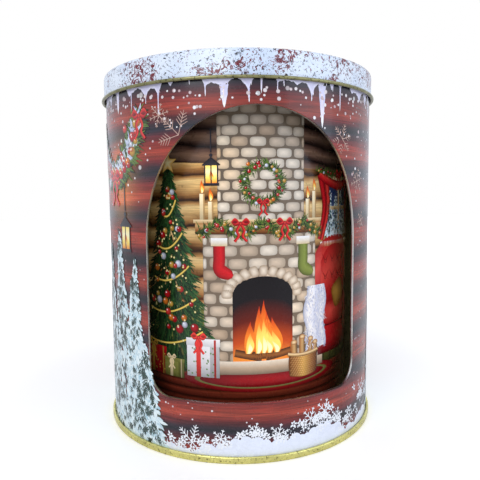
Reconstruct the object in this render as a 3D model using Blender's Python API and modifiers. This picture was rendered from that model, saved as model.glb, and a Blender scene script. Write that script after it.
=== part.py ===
"""Musical carousel tin: a round tinplate tin whose arched window shows a printed inner drum.

A wind-up musical movement stands on a well in the tin's base. Its spring barrel carries the drum on a turntable
and drives the pinned cylinder and the air-brake governor. The key hangs in the well, under the base.

Run with: blender --background --python part.py
Units are metres, +Z is up, the window faces -Y and the origin is the middle of the foot.
"""

import math

import bmesh
import bpy
from mathutils import Matrix

# Tinplate and clearances
SHEET = 0.0003  # thickness of the tinplate
GAP = 0.0003  # clearance where one piece seats on another
ROUND = 40  # sides of the large turned shells
FINE = 16  # sides of small turned pieces

# Outer tin
TIN_HEIGHT = 0.200  # floor to the top of the lid
BODY_RADIUS = 0.079  # outside of the body wall
FOOT_SEAM_HEIGHT = 0.0034
CURL_RADIUS = 0.00075  # rolled edges, to the middle of the sheet
SIDE_SEAM_WIDTH = 0.0045  # folded joint down the back of the body
SIDE_SEAM_DEPTH = 0.0006

# Window, measured along the wall before it is rolled
WINDOW_SILL = 0.030
WINDOW_HALF_WIDTH = 0.061
WINDOW_HEAD = 0.0255  # from the top of the tin down to the crown of the arch
WINDOW_ARCH_RISE = 0.0665  # from the ends of the straight sides up to the crown
WINDOW_CORNER = 0.013
WINDOW_ARCH_STEPS = 24
WINDOW_CORNER_STEPS = 4
WINDOW_HEM = 0.0015  # edge of the window, bent inwards

# Lid
LID_SKIRT = 0.0135  # top of the lid to the middle of its rolled edge
LID_CLEARANCE = 0.0006  # between the skirt and the body wall
LID_SHOULDER = 0.0014  # bend between the top and the skirt
LID_BORDER = 0.007  # flat border round the sunk panel
LID_PANEL_DROP = 0.0013
LID_PANEL_SLOPE = 0.0013

# Base and key well
PANEL_HEIGHT = 0.005  # middle of the base sheet above the floor
WELL_RADIUS = 0.030
WELL_DEPTH = 0.0125
WELL_HOLE_RADIUS = 0.0048

# Inner drum and turntable
DRUM_RADIUS = 0.066
DRUM_FOOT = 0.010  # lower edge of the drum wall above the floor
DRUM_HEIGHT = 0.177
DRUM_FLOOR_SKIRT = 0.008
TURNTABLE_CLEARANCE = 0.0042  # between the disc and the skirt of the drum's floor
TURNTABLE_THICKNESS = 0.002
TURNTABLE_RIM = 0.004  # depth of the stiffening rim under the disc
TURNTABLE_RIM_WIDTH = 0.0016
HUB_RADIUS = 0.007
HUB_WEB = 0.003  # thickness of the hub under the nut
TURNTABLE_LIFT = 0.0026  # clear space between the movement's cover and the disc
RIVET_MARGIN = 0.021  # from the disc's edge to the rivets
RIVET_RADIUS = 0.0015
RIVET_HEAD_RADIUS = 0.0032
RIVET_HEAD = 0.0009
RIVETS = 3

# Movement bedplate
BED_THICKNESS = 0.0025
BED_ROUNDING = 0.0025
COVER_WALL = 0.0010
COVER_HEADROOM = 0.0005
BARREL_ROOM = 0.0032  # between the barrel and the cover
FRAME_ROOM = 0.0019  # between the governor's frame and the cover
FAN_ROOM = 0.0008  # between the fan's sweep and the cover

# Winding arbor, ratchet and key
ARBOR_RADIUS = 0.0020
ARBOR_RUNNING = 0.00025  # clearance round the arbor
BUSH_WALL = 0.0008
BUSH_FLANGE = 0.0008
BUSH_FLANGE_RADIUS = 0.0042
RATCHET_TEETH = 16
RATCHET_RADIUS = 0.0056
RATCHET_DEPTH = 0.0008
RATCHET_THICKNESS = 0.0012
CLICK_THICKNESS = 0.0004
CLICK_ROOT_X = -0.0030  # place of the click's fixing screw
CLICK_ROOT_Y = -0.0168
CLICK_TAB_RADIUS = 0.0022
KEY_HALF_SPAN = 0.0135
KEY_WING_HEIGHT = 0.0085
KEY_THICKNESS = 0.0024
KEY_HUB_RADIUS = 0.0036
KEY_FOOT = 0.0036  # lowest point of the key above the floor
KEY_HUB_HEIGHT = 0.0112
KEY_EYE_RADIUS = 0.0022

# Spring barrel with its crown of teeth
BARREL_RADIUS = 0.0130
BARREL_WALL = 0.0009
BARREL_HEIGHT = 0.0085
BARREL_COVER = 0.0006
BARREL_TEETH = 36
CROWN_MARGIN = 0.0014  # from the barrel's edge to the middle of the crown teeth
CROWN_WIDTH = 0.0018
CROWN_BELOW = 0.0008  # from the barrel's top to the pitch plane
CROWN_ABOVE = 0.0005
SPRING_TURNS = 3
SPRING_POINTS = 12  # for each turn
SPRING_STRIP = 0.0003

# Drive shaft
SHAFT_RADIUS = 0.0020
SHAFT_SHOULDER_RADIUS = 0.0030
SHAFT_SPIGOT_RADIUS = 0.0014
NUT_RADIUS = 0.0036
NUT_HEIGHT = 0.0020

# Pinned cylinder and its gears
PINION_TEETH = 12
CYLINDER_RADIUS = 0.0060
CYLINDER_LENGTH = 0.0180
PIN_HEIGHT = 0.00045
PIN_WIDTH = 0.00035
PIN_TRACKS = 18
PINS_PER_TRACK = 2
PIN_STEP = 7  # places that the tune moves on from one track to the next
PIN_PLACES = 32
SPINDLE_RADIUS = 0.0009
POST_THICKNESS = 0.0015
POST_HALF_WIDTH = 0.0030
POST_TOP = 0.0022  # above the spindle's axis
BEARING_CLEARANCE = 0.00025
END_PLAY = 0.0007
GEAR_MODULE = 0.0005
WHEEL_TEETH = 30
WHEEL_THICKNESS = 0.0014
WHEEL_TOOTH_SHARE = 0.36  # tooth thickness over the pitch

# Comb
COMB_TEETH = 18
COMB_THICKNESS = 0.0010
COMB_SLOT = 0.0003
COMB_TIP_CLEARANCE = 0.0003
COMB_REACH = 0.0077  # length of the free teeth
COMB_ROOT_DEPTH = 0.0050
COMB_MARGIN = 0.0008
SCREW_HEAD_RADIUS = 0.0019
SCREW_HEAD = 0.0010
SCREW_SHANK_RADIUS = 0.0009
SCREW_DEPTH = 0.0030  # how far a small screw reaches into the metal

# Governor
GOVERNOR_PINION_TEETH = 10
GOVERNOR_WHEEL_TEETH = 20
MESH_SLACK = 0.0001  # added to each distance between gear centres
GOVERNOR_WHEEL_THICKNESS = 0.0010
GOVERNOR_HUB_RADIUS = 0.0015
GOVERNOR_PIVOT_RADIUS = 0.0005
WORM_RADIUS = 0.0016
WORM_THREAD = 0.0004  # half the depth of the thread
WORM_LENGTH = 0.0063
WORM_SIDES = 12
WORM_RINGS_PER_TURN = 6
FRAME_WALL = 0.0009
FRAME_HALF_WIDTH = 0.0038
FRAME_ARM = 0.0010
FRAME_REACH = 0.0024  # metal beyond the worm's axis
FAN_RADIUS = 0.0036
FAN_HEIGHT = 0.0024
FAN_THICKNESS = 0.0006
FAN_HUB_RADIUS = 0.0013

# Screws that hold the movement on the well
MOVEMENT_SCREW_RADIUS = 0.0014
MOVEMENT_SCREW_HEAD_RADIUS = 0.0026
MOVEMENT_SCREW_HEAD = 0.0013
MOVEMENT_SCREW_CIRCLE = 0.0215
MOVEMENT_SCREW_ANGLES = (0, 130, 230)

# Places worked out from the sizes above
WALL_MIDDLE = BODY_RADIUS - SHEET / 2
BODY_TOP = TIN_HEIGHT - SHEET - GAP
WINDOW_TOP = TIN_HEIGHT - WINDOW_HEAD
WINDOW_SPRING = WINDOW_TOP - WINDOW_ARCH_RISE
LID_RADIUS = BODY_RADIUS + LID_CLEARANCE + SHEET / 2
STEP_OUT = SHEET + GAP  # from the middle of one sheet to the next in a fold
WELL_FLOOR = PANEL_HEIGHT + WELL_DEPTH
BED_BOTTOM = WELL_FLOOR + SHEET / 2 + GAP
BED_TOP = BED_BOTTOM + BED_THICKNESS
BUSH_TOP = BED_TOP + GAP + BUSH_FLANGE
RATCHET_BOTTOM = BUSH_TOP + GAP
BARREL_COVER_BOTTOM = RATCHET_BOTTOM + RATCHET_THICKNESS + GAP
BARREL_BOTTOM = BARREL_COVER_BOTTOM + BARREL_COVER + GAP
BARREL_TOP = BARREL_BOTTOM + BARREL_HEIGHT
CROWN_PITCH = BARREL_TOP + CROWN_BELOW
CROWN_RADIUS = BARREL_RADIUS - CROWN_MARGIN
PINION_MODULE = 2 * CROWN_RADIUS / BARREL_TEETH
SPINDLE_Z = CROWN_PITCH + PINION_MODULE * PINION_TEETH / 2
PINION_MIDDLE = CROWN_RADIUS
LEFT_POST = BARREL_RADIUS + 2 * GAP + POST_THICKNESS / 2
CYLINDER_MIDDLE = LEFT_POST + POST_THICKNESS / 2 + END_PLAY + CYLINDER_LENGTH / 2
RIGHT_POST = CYLINDER_MIDDLE + CYLINDER_LENGTH / 2 + END_PLAY + POST_THICKNESS / 2
WHEEL_MIDDLE = RIGHT_POST + POST_THICKNESS / 2 + END_PLAY + WHEEL_THICKNESS / 2
SPINDLE_END = WHEEL_MIDDLE + WHEEL_THICKNESS / 2 + GAP
WHEEL_RADIUS = GEAR_MODULE * WHEEL_TEETH / 2
GOVERNOR_Y = -(WHEEL_RADIUS + GEAR_MODULE * GOVERNOR_PINION_TEETH / 2 + MESH_SLACK)
FRAME_LEFT = SPINDLE_END + GAP
WORM_X = FRAME_LEFT + FRAME_HALF_WIDTH
FRAME_RIGHT = WORM_X + FRAME_HALF_WIDTH
GOVERNOR_WHEEL_RADIUS = GEAR_MODULE * GOVERNOR_WHEEL_TEETH / 2
WORM_Y = GOVERNOR_Y - GOVERNOR_WHEEL_RADIUS - WORM_RADIUS - MESH_SLACK
WORM_PITCH = math.pi * GEAR_MODULE
FRAME_ARM_Z = SPINDLE_Z + WORM_LENGTH / 2 + 2 * GAP + FRAME_ARM / 2
FAN_BOTTOM = FRAME_ARM_Z + FRAME_ARM / 2 + GAP
COMB_TIP = CYLINDER_RADIUS + PIN_HEIGHT + COMB_TIP_CLEARANCE
COMB_BACK = COMB_TIP + COMB_REACH + COMB_ROOT_DEPTH
COMB_SEAT = SPINDLE_Z - COMB_THICKNESS / 2 - GAP
COVER_TOP = max(FAN_BOTTOM + FAN_HEIGHT, SPINDLE_Z + WHEEL_RADIUS + 2 * GEAR_MODULE) + COVER_HEADROOM + COVER_WALL
TURNTABLE_BOTTOM = COVER_TOP + TURNTABLE_LIFT
TURNTABLE_TOP = TURNTABLE_BOTTOM + TURNTABLE_THICKNESS
NUT_BOTTOM = TURNTABLE_TOP - GAP - NUT_HEIGHT - GAP
HUB_BOTTOM = NUT_BOTTOM - GAP - HUB_WEB
DRUM_FLOOR = TURNTABLE_TOP + GAP + SHEET / 2
DRUM_WALL_MIDDLE = DRUM_RADIUS - SHEET / 2
TURNTABLE_RADIUS = DRUM_WALL_MIDDLE - STEP_OUT - SHEET / 2 - TURNTABLE_CLEARANCE
RIVET_CIRCLE = TURNTABLE_RADIUS - RIVET_MARGIN
BED_LEFT = BARREL_RADIUS + BARREL_ROOM + COVER_WALL
BED_RIGHT = FRAME_RIGHT + FRAME_ROOM + COVER_WALL
BED_HALF_DEPTH = FAN_RADIUS + FAN_ROOM + COVER_WALL - WORM_Y
ARBOR_TOP = BARREL_TOP - BARREL_WALL - 2 * GAP
FULL_TURN = 2 * math.pi


def clear_scene():
    for obj in list(bpy.data.objects):
        bpy.data.objects.remove(obj, do_unlink=True)


def new_collection(name):
    collection = bpy.data.collections.new(name)
    bpy.context.scene.collection.children.link(collection)
    return collection


def finish(name, colour, roughness, metallic=0.0):
    """A plain Principled material."""
    material = bpy.data.materials.new(name)
    material.use_nodes = True
    shader = material.node_tree.nodes["Principled BSDF"]
    shader.inputs["Base Color"].default_value = (*colour, 1.0)
    shader.inputs["Roughness"].default_value = roughness
    shader.inputs["Metallic"].default_value = metallic
    return material


clear_scene()
PARTS = new_collection("musical_carousel_tin")
CUTTERS = new_collection("cutters")
PRINT_RED = finish("print_red_brown", (0.33, 0.07, 0.05), 0.3)
PRINT_WHITE = finish("print_frost_white", (0.82, 0.86, 0.90), 0.3)
PRINT_SCENE = finish("print_cabin_brown", (0.42, 0.24, 0.12), 0.3)
GOLD_LACQUER = finish("gold_lacquer", (0.62, 0.54, 0.22), 0.32, 1.0)
BRIGHT_TIN = finish("bright_tinplate", (0.66, 0.66, 0.64), 0.28, 1.0)
STEEL = finish("steel", (0.50, 0.50, 0.52), 0.3, 1.0)
BRASS = finish("brass", (0.70, 0.52, 0.22), 0.3, 1.0)
ZINC = finish("cast_zinc", (0.46, 0.47, 0.49), 0.5, 1.0)
IVORY_PLASTIC = finish("ivory_plastic", (0.86, 0.84, 0.76), 0.45)
BLACK_PLASTIC = finish("black_plastic", (0.03, 0.03, 0.035), 0.45)


def add(name, mesh, material, location=(0, 0, 0), rotation=(0, 0, 0)):
    """A named object of the tin."""
    obj = bpy.data.objects.new(name, mesh)
    obj.data.materials.append(material)
    obj.location = location
    obj.rotation_euler = rotation
    PARTS.objects.link(obj)
    return obj


def helper(obj):
    """Keeps an object that only cuts or joins another out of the tin."""
    for collection in list(obj.users_collection):
        collection.objects.unlink(obj)
    CUTTERS.objects.link(obj)
    obj.hide_render = True
    obj.display_type = "WIRE"
    return obj


def combine(target, other, operation):
    modifier = target.modifiers.new(operation.lower(), "BOOLEAN")
    modifier.operation = operation
    modifier.object = helper(other)


def turned(name, profile, material, sides=FINE, location=(0, 0, 0), rotation=(0, 0, 0), closed=True):
    """Turns a profile of (radius, height) points about the object's Z axis. It runs down its outer side."""
    mesh = bpy.data.meshes.new(name)
    points = [(radius, 0, height) for radius, height in profile]
    edges = [(i, i + 1) for i in range(len(points) - 1)]
    if closed:
        edges.append((len(points) - 1, 0))
    mesh.from_pydata(points, edges, [])
    obj = add(name, mesh, material, location, rotation)
    screw = obj.modifiers.new("turn", "SCREW")
    screw.angle = FULL_TURN
    screw.steps = sides
    screw.render_steps = sides
    screw.use_merge_vertices = True
    screw.merge_threshold = 0.00001
    screw.use_smooth_shade = True
    return obj


def sheet_turned(name, profile, material, location=(0, 0, 0), sides=ROUND):
    """A turned shell of tinplate. The profile follows the middle of the sheet."""
    obj = turned(name, profile, material, sides, location, closed=False)
    wall = obj.modifiers.new("sheet", "SOLIDIFY")
    wall.thickness = SHEET
    wall.offset = 0
    wall.use_even_offset = True
    return obj


def rod(name, radius, low, high, material, sides=FINE, location=(0, 0, 0), rotation=(0, 0, 0)):
    """A plain round bar from low to high along the object's Z axis."""
    mesh = bpy.data.meshes.new(name)
    shape = bmesh.new()
    middle = Matrix.Translation((0, 0, (low + high) / 2))
    bmesh.ops.create_cone(
        shape, cap_ends=True, segments=sides, radius1=radius, radius2=radius, depth=high - low, matrix=middle
    )
    shape.to_mesh(mesh)
    shape.free()
    mesh.shade_smooth()
    mesh.set_sharp_from_angle(angle=math.radians(40))
    return add(name, mesh, material, location, rotation)


def block(name, low, high, material, rounding=0.0):
    """A box between two corners, with its upright edges rounded where asked."""
    mesh = bpy.data.meshes.new(name)
    shape = bmesh.new()
    size = [h - l for l, h in zip(low, high)]
    centre = [(h + l) / 2 for l, h in zip(low, high)]
    bmesh.ops.create_cube(shape, size=1, matrix=Matrix.Diagonal((*size, 1)))
    if rounding:
        upright = [e for e in shape.edges if abs(e.verts[0].co.z - e.verts[1].co.z) > size[2] / 2]
        bmesh.ops.bevel(shape, geom=upright, offset=rounding, segments=3, affect="EDGES", profile=0.5)
    shape.to_mesh(mesh)
    shape.free()
    return add(name, mesh, material, centre)


def extruded(name, outlines, thickness, material, location=(0, 0, 0), rotation=(0, 0, 0)):
    """A flat plate from closed outlines in the object's XY plane. Later outlines are holes."""
    curve = bpy.data.curves.new(name, "CURVE")
    curve.dimensions = "2D"
    curve.fill_mode = "BOTH"
    curve.extrude = thickness / 2
    for outline in outlines:
        spline = curve.splines.new("POLY")
        spline.points.add(len(outline) - 1)
        for point, (x, y) in zip(spline.points, outline):
            point.co = (x, y, 0, 1)
        spline.use_cyclic_u = True
    guide = bpy.data.objects.new(name + "_outline", curve)
    bpy.context.scene.collection.objects.link(guide)
    bpy.context.view_layer.update()
    graph = bpy.context.evaluated_depsgraph_get()
    mesh = bpy.data.meshes.new_from_object(guide.evaluated_get(graph))
    bpy.data.objects.remove(guide)
    shape = bmesh.new()
    shape.from_mesh(mesh)
    bmesh.ops.remove_doubles(shape, verts=shape.verts, dist=0.000001)
    bmesh.ops.recalc_face_normals(shape, faces=shape.faces)
    shape.to_mesh(mesh)
    shape.free()
    mesh.name = name
    return add(name, mesh, material, location, rotation)


def circle(radius, sides=FINE, x=0.0, y=0.0, start=0.0):
    turns = [start + FULL_TURN * i / sides for i in range(sides)]
    return [(x + radius * math.cos(t), y + radius * math.sin(t)) for t in turns]


def gear_outline(teeth, module, share, phase=0.0):
    """Trapezoid teeth on a pitch circle. One tooth is centred at the angle phase."""
    pitch_radius = module * teeth / 2
    tip = pitch_radius + 0.8 * module
    root = pitch_radius - 1.1 * module
    step = FULL_TURN / teeth
    points = []
    for i in range(teeth):
        middle = phase + i * step
        foot = step * (share + 0.10) / 2
        crest = step * (share - 0.16) / 2
        for radius, angle in ((root, -foot), (tip, -crest), (tip, crest), (root, foot)):
            points.append((radius * math.cos(middle + angle), radius * math.sin(middle + angle)))
    return points


def rolled_edge(radius, height, start, sweep, steps=3):
    """Points of a rolled edge of CURL_RADIUS about (radius, height), angles in degrees."""
    turns = [math.radians(start + sweep * i / steps) for i in range(steps + 1)]
    return [(radius + CURL_RADIUS * math.cos(t), height + CURL_RADIUS * math.sin(t)) for t in turns]


ALONG_X = (0, math.pi / 2, 0)  # turns an object's Z axis to +X


def window_outline():
    """The arched window on the flat sheet, as (distance along the wall, height)."""
    flat = []
    low = WINDOW_SILL + WINDOW_CORNER
    side = WINDOW_HALF_WIDTH - WINDOW_CORNER
    for i in range(WINDOW_CORNER_STEPS + 1):
        turn = math.radians(-90 + 90 * i / WINDOW_CORNER_STEPS)
        flat.append((side + WINDOW_CORNER * math.cos(turn), low + WINDOW_CORNER * math.sin(turn)))
    for i in range(WINDOW_ARCH_STEPS + 1):
        turn = math.pi * i / WINDOW_ARCH_STEPS
        rise = (WINDOW_TOP - WINDOW_SPRING) * math.sin(turn)
        flat.append((WINDOW_HALF_WIDTH * math.cos(turn), WINDOW_SPRING + rise))
    for i in range(WINDOW_CORNER_STEPS + 1):
        turn = math.radians(180 + 90 * i / WINDOW_CORNER_STEPS)
        flat.append((-side + WINDOW_CORNER * math.cos(turn), low + WINDOW_CORNER * math.sin(turn)))
    return flat


def folded_outline():
    """The window's outline with a point more at each fold between the wall's flat sides."""
    facet = FULL_TURN / ROUND * BODY_RADIUS
    outline = window_outline()
    points = []
    for (along, z), (next_along, next_z) in zip(outline, outline[1:] + outline[:1]):
        points.append((along, z))
        low, high = sorted((along, next_along))
        folds = [facet * k for k in range(-ROUND, ROUND) if low + GAP < facet * k < high - GAP]
        for fold in sorted(folds, reverse=next_along < along):
            share = (fold - along) / (next_along - along)
            points.append((fold, z + share * (next_z - z)))
    return points


def window_loop(inwards):
    """The window's outline on the rolled wall, moved towards the tin's axis."""
    step = FULL_TURN / ROUND
    points = []
    for along, z in folded_outline():
        turn = along / BODY_RADIUS - math.pi / 2
        radius = WALL_MIDDLE * math.cos(step / 2) / math.cos(turn % step - step / 2) - inwards
        points.append((radius * math.cos(turn), radius * math.sin(turn), z))
    return points


def joined_loops(name, loops, ends=()):
    """A surface through closed loops of points. Where two end points are given, it is closed to them."""
    mesh = bpy.data.meshes.new(name)
    shape = bmesh.new()
    rings = [[shape.verts.new(point) for point in loop] for loop in loops]
    count = len(rings[0])
    for first, second in zip(rings, rings[1:]):
        for i in range(count):
            after = (i + 1) % count
            shape.faces.new((first[i], first[after], second[after], second[i]))
    for ring, end in zip((rings[0], rings[-1]), ends):
        tip = shape.verts.new(end)
        for i in range(count):
            shape.faces.new((ring[i], ring[(i + 1) % count], tip))
    bmesh.ops.recalc_face_normals(shape, faces=shape.faces)
    shape.to_mesh(mesh)
    shape.free()
    return add(name, mesh, PRINT_RED)


def cut_window(body):
    """Cuts the window square to the wall, and bends its edge inwards."""
    middle = (WINDOW_SILL + WINDOW_TOP) / 2
    reach = 0.1 * BODY_RADIUS
    loops = [window_loop(reach), window_loop(-reach)]
    ends = [(0, 0, middle), (0, -2 * BODY_RADIUS, middle)]
    combine(body, joined_loops("window_cutter", loops, ends), "DIFFERENCE")
    hem = joined_loops("window_hem", [window_loop(-SHEET / 4), window_loop(WINDOW_HEM)])
    wall = hem.modifiers.new("sheet", "SOLIDIFY")
    wall.thickness = SHEET
    wall.offset = 0
    combine(body, hem, "UNION")


def make_outer_body():
    """Body wall with its foot hook, inward rolled top, folded side seam and window."""
    hook_radius = WALL_MIDDLE + 2 * STEP_OUT
    hook_bottom = SHEET / 2 + STEP_OUT
    curl_z = BODY_TOP - SHEET / 2 - CURL_RADIUS
    profile = rolled_edge(WALL_MIDDLE - CURL_RADIUS, curl_z, 225, -225)
    profile += [(WALL_MIDDLE, hook_bottom), (hook_radius, hook_bottom)]
    profile += [(hook_radius, FOOT_SEAM_HEIGHT - SHEET / 2 - STEP_OUT - GAP)]
    body = sheet_turned("outer_body", profile, PRINT_RED)
    seam = block(
        "side_seam",
        (-SIDE_SEAM_WIDTH / 2, BODY_RADIUS - SHEET - SIDE_SEAM_DEPTH, PANEL_HEIGHT + SHEET),
        (SIDE_SEAM_WIDTH / 2, BODY_RADIUS - SHEET / 2, curl_z - 2 * CURL_RADIUS),
        PRINT_RED,
    )
    combine(body, seam, "UNION")
    cut_window(body)


def make_lid():
    """Slip lid: sunk panel, shoulder, plain skirt and outward rolled edge."""
    top = TIN_HEIGHT - SHEET / 2
    panel = top - LID_PANEL_DROP
    panel_edge = LID_RADIUS - LID_BORDER
    curl_z = TIN_HEIGHT - LID_SKIRT
    profile = [
        (0, panel),
        (panel_edge - LID_PANEL_SLOPE, panel),
        (panel_edge, top),
        (LID_RADIUS - LID_SHOULDER, top),
        (LID_RADIUS - 0.3 * LID_SHOULDER, top - 0.3 * LID_SHOULDER),
        (LID_RADIUS, top - LID_SHOULDER),
    ]
    profile += rolled_edge(LID_RADIUS + CURL_RADIUS, curl_z, 180, 225)
    sheet_turned("lid", profile, PRINT_WHITE)


def make_base_end():
    """Base: seam folded round the body's hook, panel, and the well that takes the key."""
    cover_hook = WALL_MIDDLE + STEP_OUT
    seam_wall = WALL_MIDDLE + 3 * STEP_OUT
    chuck_wall = WALL_MIDDLE - STEP_OUT
    seam_top = FOOT_SEAM_HEIGHT - SHEET / 2
    floor = SHEET / 2
    well = WELL_RADIUS + SHEET / 2
    profile = [
        (cover_hook, floor + 2 * STEP_OUT + GAP),
        (cover_hook, seam_top),
        (seam_wall, seam_top),
        (seam_wall, floor),
        (chuck_wall, floor),
        (chuck_wall, PANEL_HEIGHT),
        (well, PANEL_HEIGHT),
        (well, WELL_FLOOR),
        (WELL_HOLE_RADIUS, WELL_FLOOR),
    ]
    base = sheet_turned("base_end", profile, GOLD_LACQUER)
    for number, (x, y) in enumerate(movement_screw_places(), 1):
        hole = rod(
            f"well_hole_{number}", MOVEMENT_SCREW_RADIUS + GAP, WELL_FLOOR - SHEET * 4, WELL_FLOOR + SHEET * 4,
            GOLD_LACQUER, location=(x, y, 0),
        )
        combine(base, hole, "DIFFERENCE")


def movement_screw_places():
    turns = [math.radians(angle) for angle in MOVEMENT_SCREW_ANGLES]
    return [(MOVEMENT_SCREW_CIRCLE * math.cos(t), MOVEMENT_SCREW_CIRCLE * math.sin(t)) for t in turns]


def rivet_places():
    turns = [math.radians(90) + FULL_TURN * i / RIVETS for i in range(RIVETS)]
    return [(RIVET_CIRCLE * math.cos(t), RIVET_CIRCLE * math.sin(t)) for t in turns]


def make_drum():
    """Printed drum wall, its raised floor and the rivets that hold the floor on the turntable."""
    low = DRUM_FOOT + SHEET / 2 + CURL_RADIUS
    high = DRUM_FOOT + DRUM_HEIGHT - SHEET / 2 - CURL_RADIUS
    curl = DRUM_WALL_MIDDLE - CURL_RADIUS
    profile = rolled_edge(curl, high, 225, -225)
    profile += rolled_edge(curl, low, 0, -225)
    sheet_turned("drum_wall", profile, PRINT_SCENE)
    skirt = DRUM_WALL_MIDDLE - STEP_OUT
    floor = sheet_turned(
        "drum_floor", [(0, DRUM_FLOOR), (skirt, DRUM_FLOOR), (skirt, DRUM_FLOOR - DRUM_FLOOR_SKIRT)], BRIGHT_TIN
    )
    under = TURNTABLE_BOTTOM - GAP
    over = DRUM_FLOOR + SHEET / 2 + GAP
    for number, (x, y) in enumerate(rivet_places(), 1):
        hole = rod(
            f"floor_hole_{number}", RIVET_RADIUS + GAP, DRUM_FLOOR - SHEET * 4, DRUM_FLOOR + SHEET * 4,
            BRIGHT_TIN, location=(x, y, 0),
        )
        combine(floor, hole, "DIFFERENCE")
        profile = [
            (0, over + RIVET_HEAD),
            (0.7 * RIVET_HEAD_RADIUS, over + 0.8 * RIVET_HEAD),
            (RIVET_HEAD_RADIUS, over),
            (RIVET_RADIUS, over),
            (RIVET_RADIUS, under),
            (RIVET_HEAD_RADIUS, under),
            (0.7 * RIVET_HEAD_RADIUS, under - 0.8 * RIVET_HEAD),
            (0, under - RIVET_HEAD),
        ]
        turned(f"drum_rivet_{number}", profile, STEEL, 10, (x, y, 0), closed=False)


def make_turntable():
    """Moulded disc with a stiffening rim, and a hub with a pocket for the nut."""
    bore = SHAFT_RADIUS + ARBOR_RUNNING
    pocket = NUT_RADIUS + 2 * GAP
    rim = TURNTABLE_BOTTOM - TURNTABLE_RIM
    profile = [
        (TURNTABLE_RADIUS, TURNTABLE_TOP),
        (TURNTABLE_RADIUS, rim),
        (TURNTABLE_RADIUS - TURNTABLE_RIM_WIDTH, rim),
        (TURNTABLE_RADIUS - TURNTABLE_RIM_WIDTH, TURNTABLE_BOTTOM),
        (HUB_RADIUS, TURNTABLE_BOTTOM),
        (HUB_RADIUS, HUB_BOTTOM),
        (bore, HUB_BOTTOM),
        (bore, NUT_BOTTOM - GAP),
        (pocket, NUT_BOTTOM - GAP),
        (pocket, TURNTABLE_TOP),
    ]
    disc = turned("turntable", profile, IVORY_PLASTIC, 32)
    for number, (x, y) in enumerate(rivet_places(), 1):
        hole = rod(
            f"turntable_hole_{number}", RIVET_RADIUS + GAP, TURNTABLE_BOTTOM - GAP, TURNTABLE_TOP + GAP,
            IVORY_PLASTIC, location=(x, y, 0),
        )
        combine(disc, hole, "DIFFERENCE")


def make_drive_shaft():
    """Shaft riveted in the barrel's top. Its shoulder carries the turntable and a nut clamps it."""
    collar = BARREL_TOP + GAP
    shoulder = HUB_BOTTOM - GAP
    top = TURNTABLE_TOP - GAP
    profile = [
        (0, top),
        (SHAFT_RADIUS, top),
        (SHAFT_RADIUS, shoulder),
        (SHAFT_SHOULDER_RADIUS, shoulder),
        (SHAFT_SHOULDER_RADIUS, collar),
        (SHAFT_SPIGOT_RADIUS, collar),
        (SHAFT_SPIGOT_RADIUS, BARREL_TOP - BARREL_WALL),
        (0, BARREL_TOP - BARREL_WALL),
    ]
    turned("drive_shaft", profile, STEEL, closed=False)
    extruded(
        "hub_nut",
        [circle(NUT_RADIUS, 6), circle(SHAFT_RADIUS + GAP)],
        NUT_HEIGHT,
        BRASS,
        (0, 0, NUT_BOTTOM + NUT_HEIGHT / 2),
    )


def make_barrel():
    """Spring barrel with a crown of teeth, its cover and the mainspring."""
    inner = BARREL_RADIUS - BARREL_WALL
    hole = SHAFT_SPIGOT_RADIUS + GAP
    profile = [
        (BARREL_RADIUS, BARREL_TOP),
        (BARREL_RADIUS, BARREL_BOTTOM),
        (inner, BARREL_BOTTOM),
        (inner, BARREL_TOP - BARREL_WALL),
        (hole, BARREL_TOP - BARREL_WALL),
        (hole, BARREL_TOP),
    ]
    barrel = turned("spring_barrel", profile, BRASS, 36)
    crown = extruded(
        "crown_teeth",
        [crown_outline(), circle(CROWN_RADIUS - CROWN_WIDTH / 2 - GAP, 36)],
        CROWN_BELOW + CROWN_ABOVE + BARREL_WALL / 2,
        BRASS,
        (0, 0, BARREL_TOP + (CROWN_BELOW + CROWN_ABOVE - BARREL_WALL / 2) / 2),
    )
    slots = crown_slots()
    combine(crown, slots, "DIFFERENCE")
    combine(barrel, crown, "UNION")
    turned(
        "barrel_cover",
        [
            (BARREL_RADIUS, BARREL_COVER_BOTTOM + BARREL_COVER),
            (BARREL_RADIUS, BARREL_COVER_BOTTOM),
            (ARBOR_RADIUS + ARBOR_RUNNING, BARREL_COVER_BOTTOM),
            (ARBOR_RADIUS + ARBOR_RUNNING, BARREL_COVER_BOTTOM + BARREL_COVER),
        ],
        BRASS,
        24,
    )
    make_mainspring(inner)


def crown_outline():
    return circle(CROWN_RADIUS + CROWN_WIDTH / 2, 36)


def crown_slots():
    """Radial slots that leave the crown's teeth standing. A gap lies on the +X axis."""
    mesh = bpy.data.meshes.new("crown_slots")
    shape = bmesh.new()
    pitch = FULL_TURN * CROWN_RADIUS / BARREL_TEETH
    width = pitch * (1 - WHEEL_TOOTH_SHARE)
    height = 2 * (CROWN_BELOW + CROWN_ABOVE)
    middle = BARREL_TOP + GAP / 2 + height / 2
    for i in range(BARREL_TEETH):
        turn = Matrix.Rotation(FULL_TURN * i / BARREL_TEETH, 4, "Z")
        place = Matrix.Translation((CROWN_RADIUS, 0, middle))
        size = Matrix.Diagonal((CROWN_WIDTH + 4 * GAP, width, height, 1))
        bmesh.ops.create_cube(shape, size=1, matrix=turn @ place @ size)
    shape.to_mesh(mesh)
    shape.free()
    return add("crown_slots", mesh, BRASS)


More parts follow.
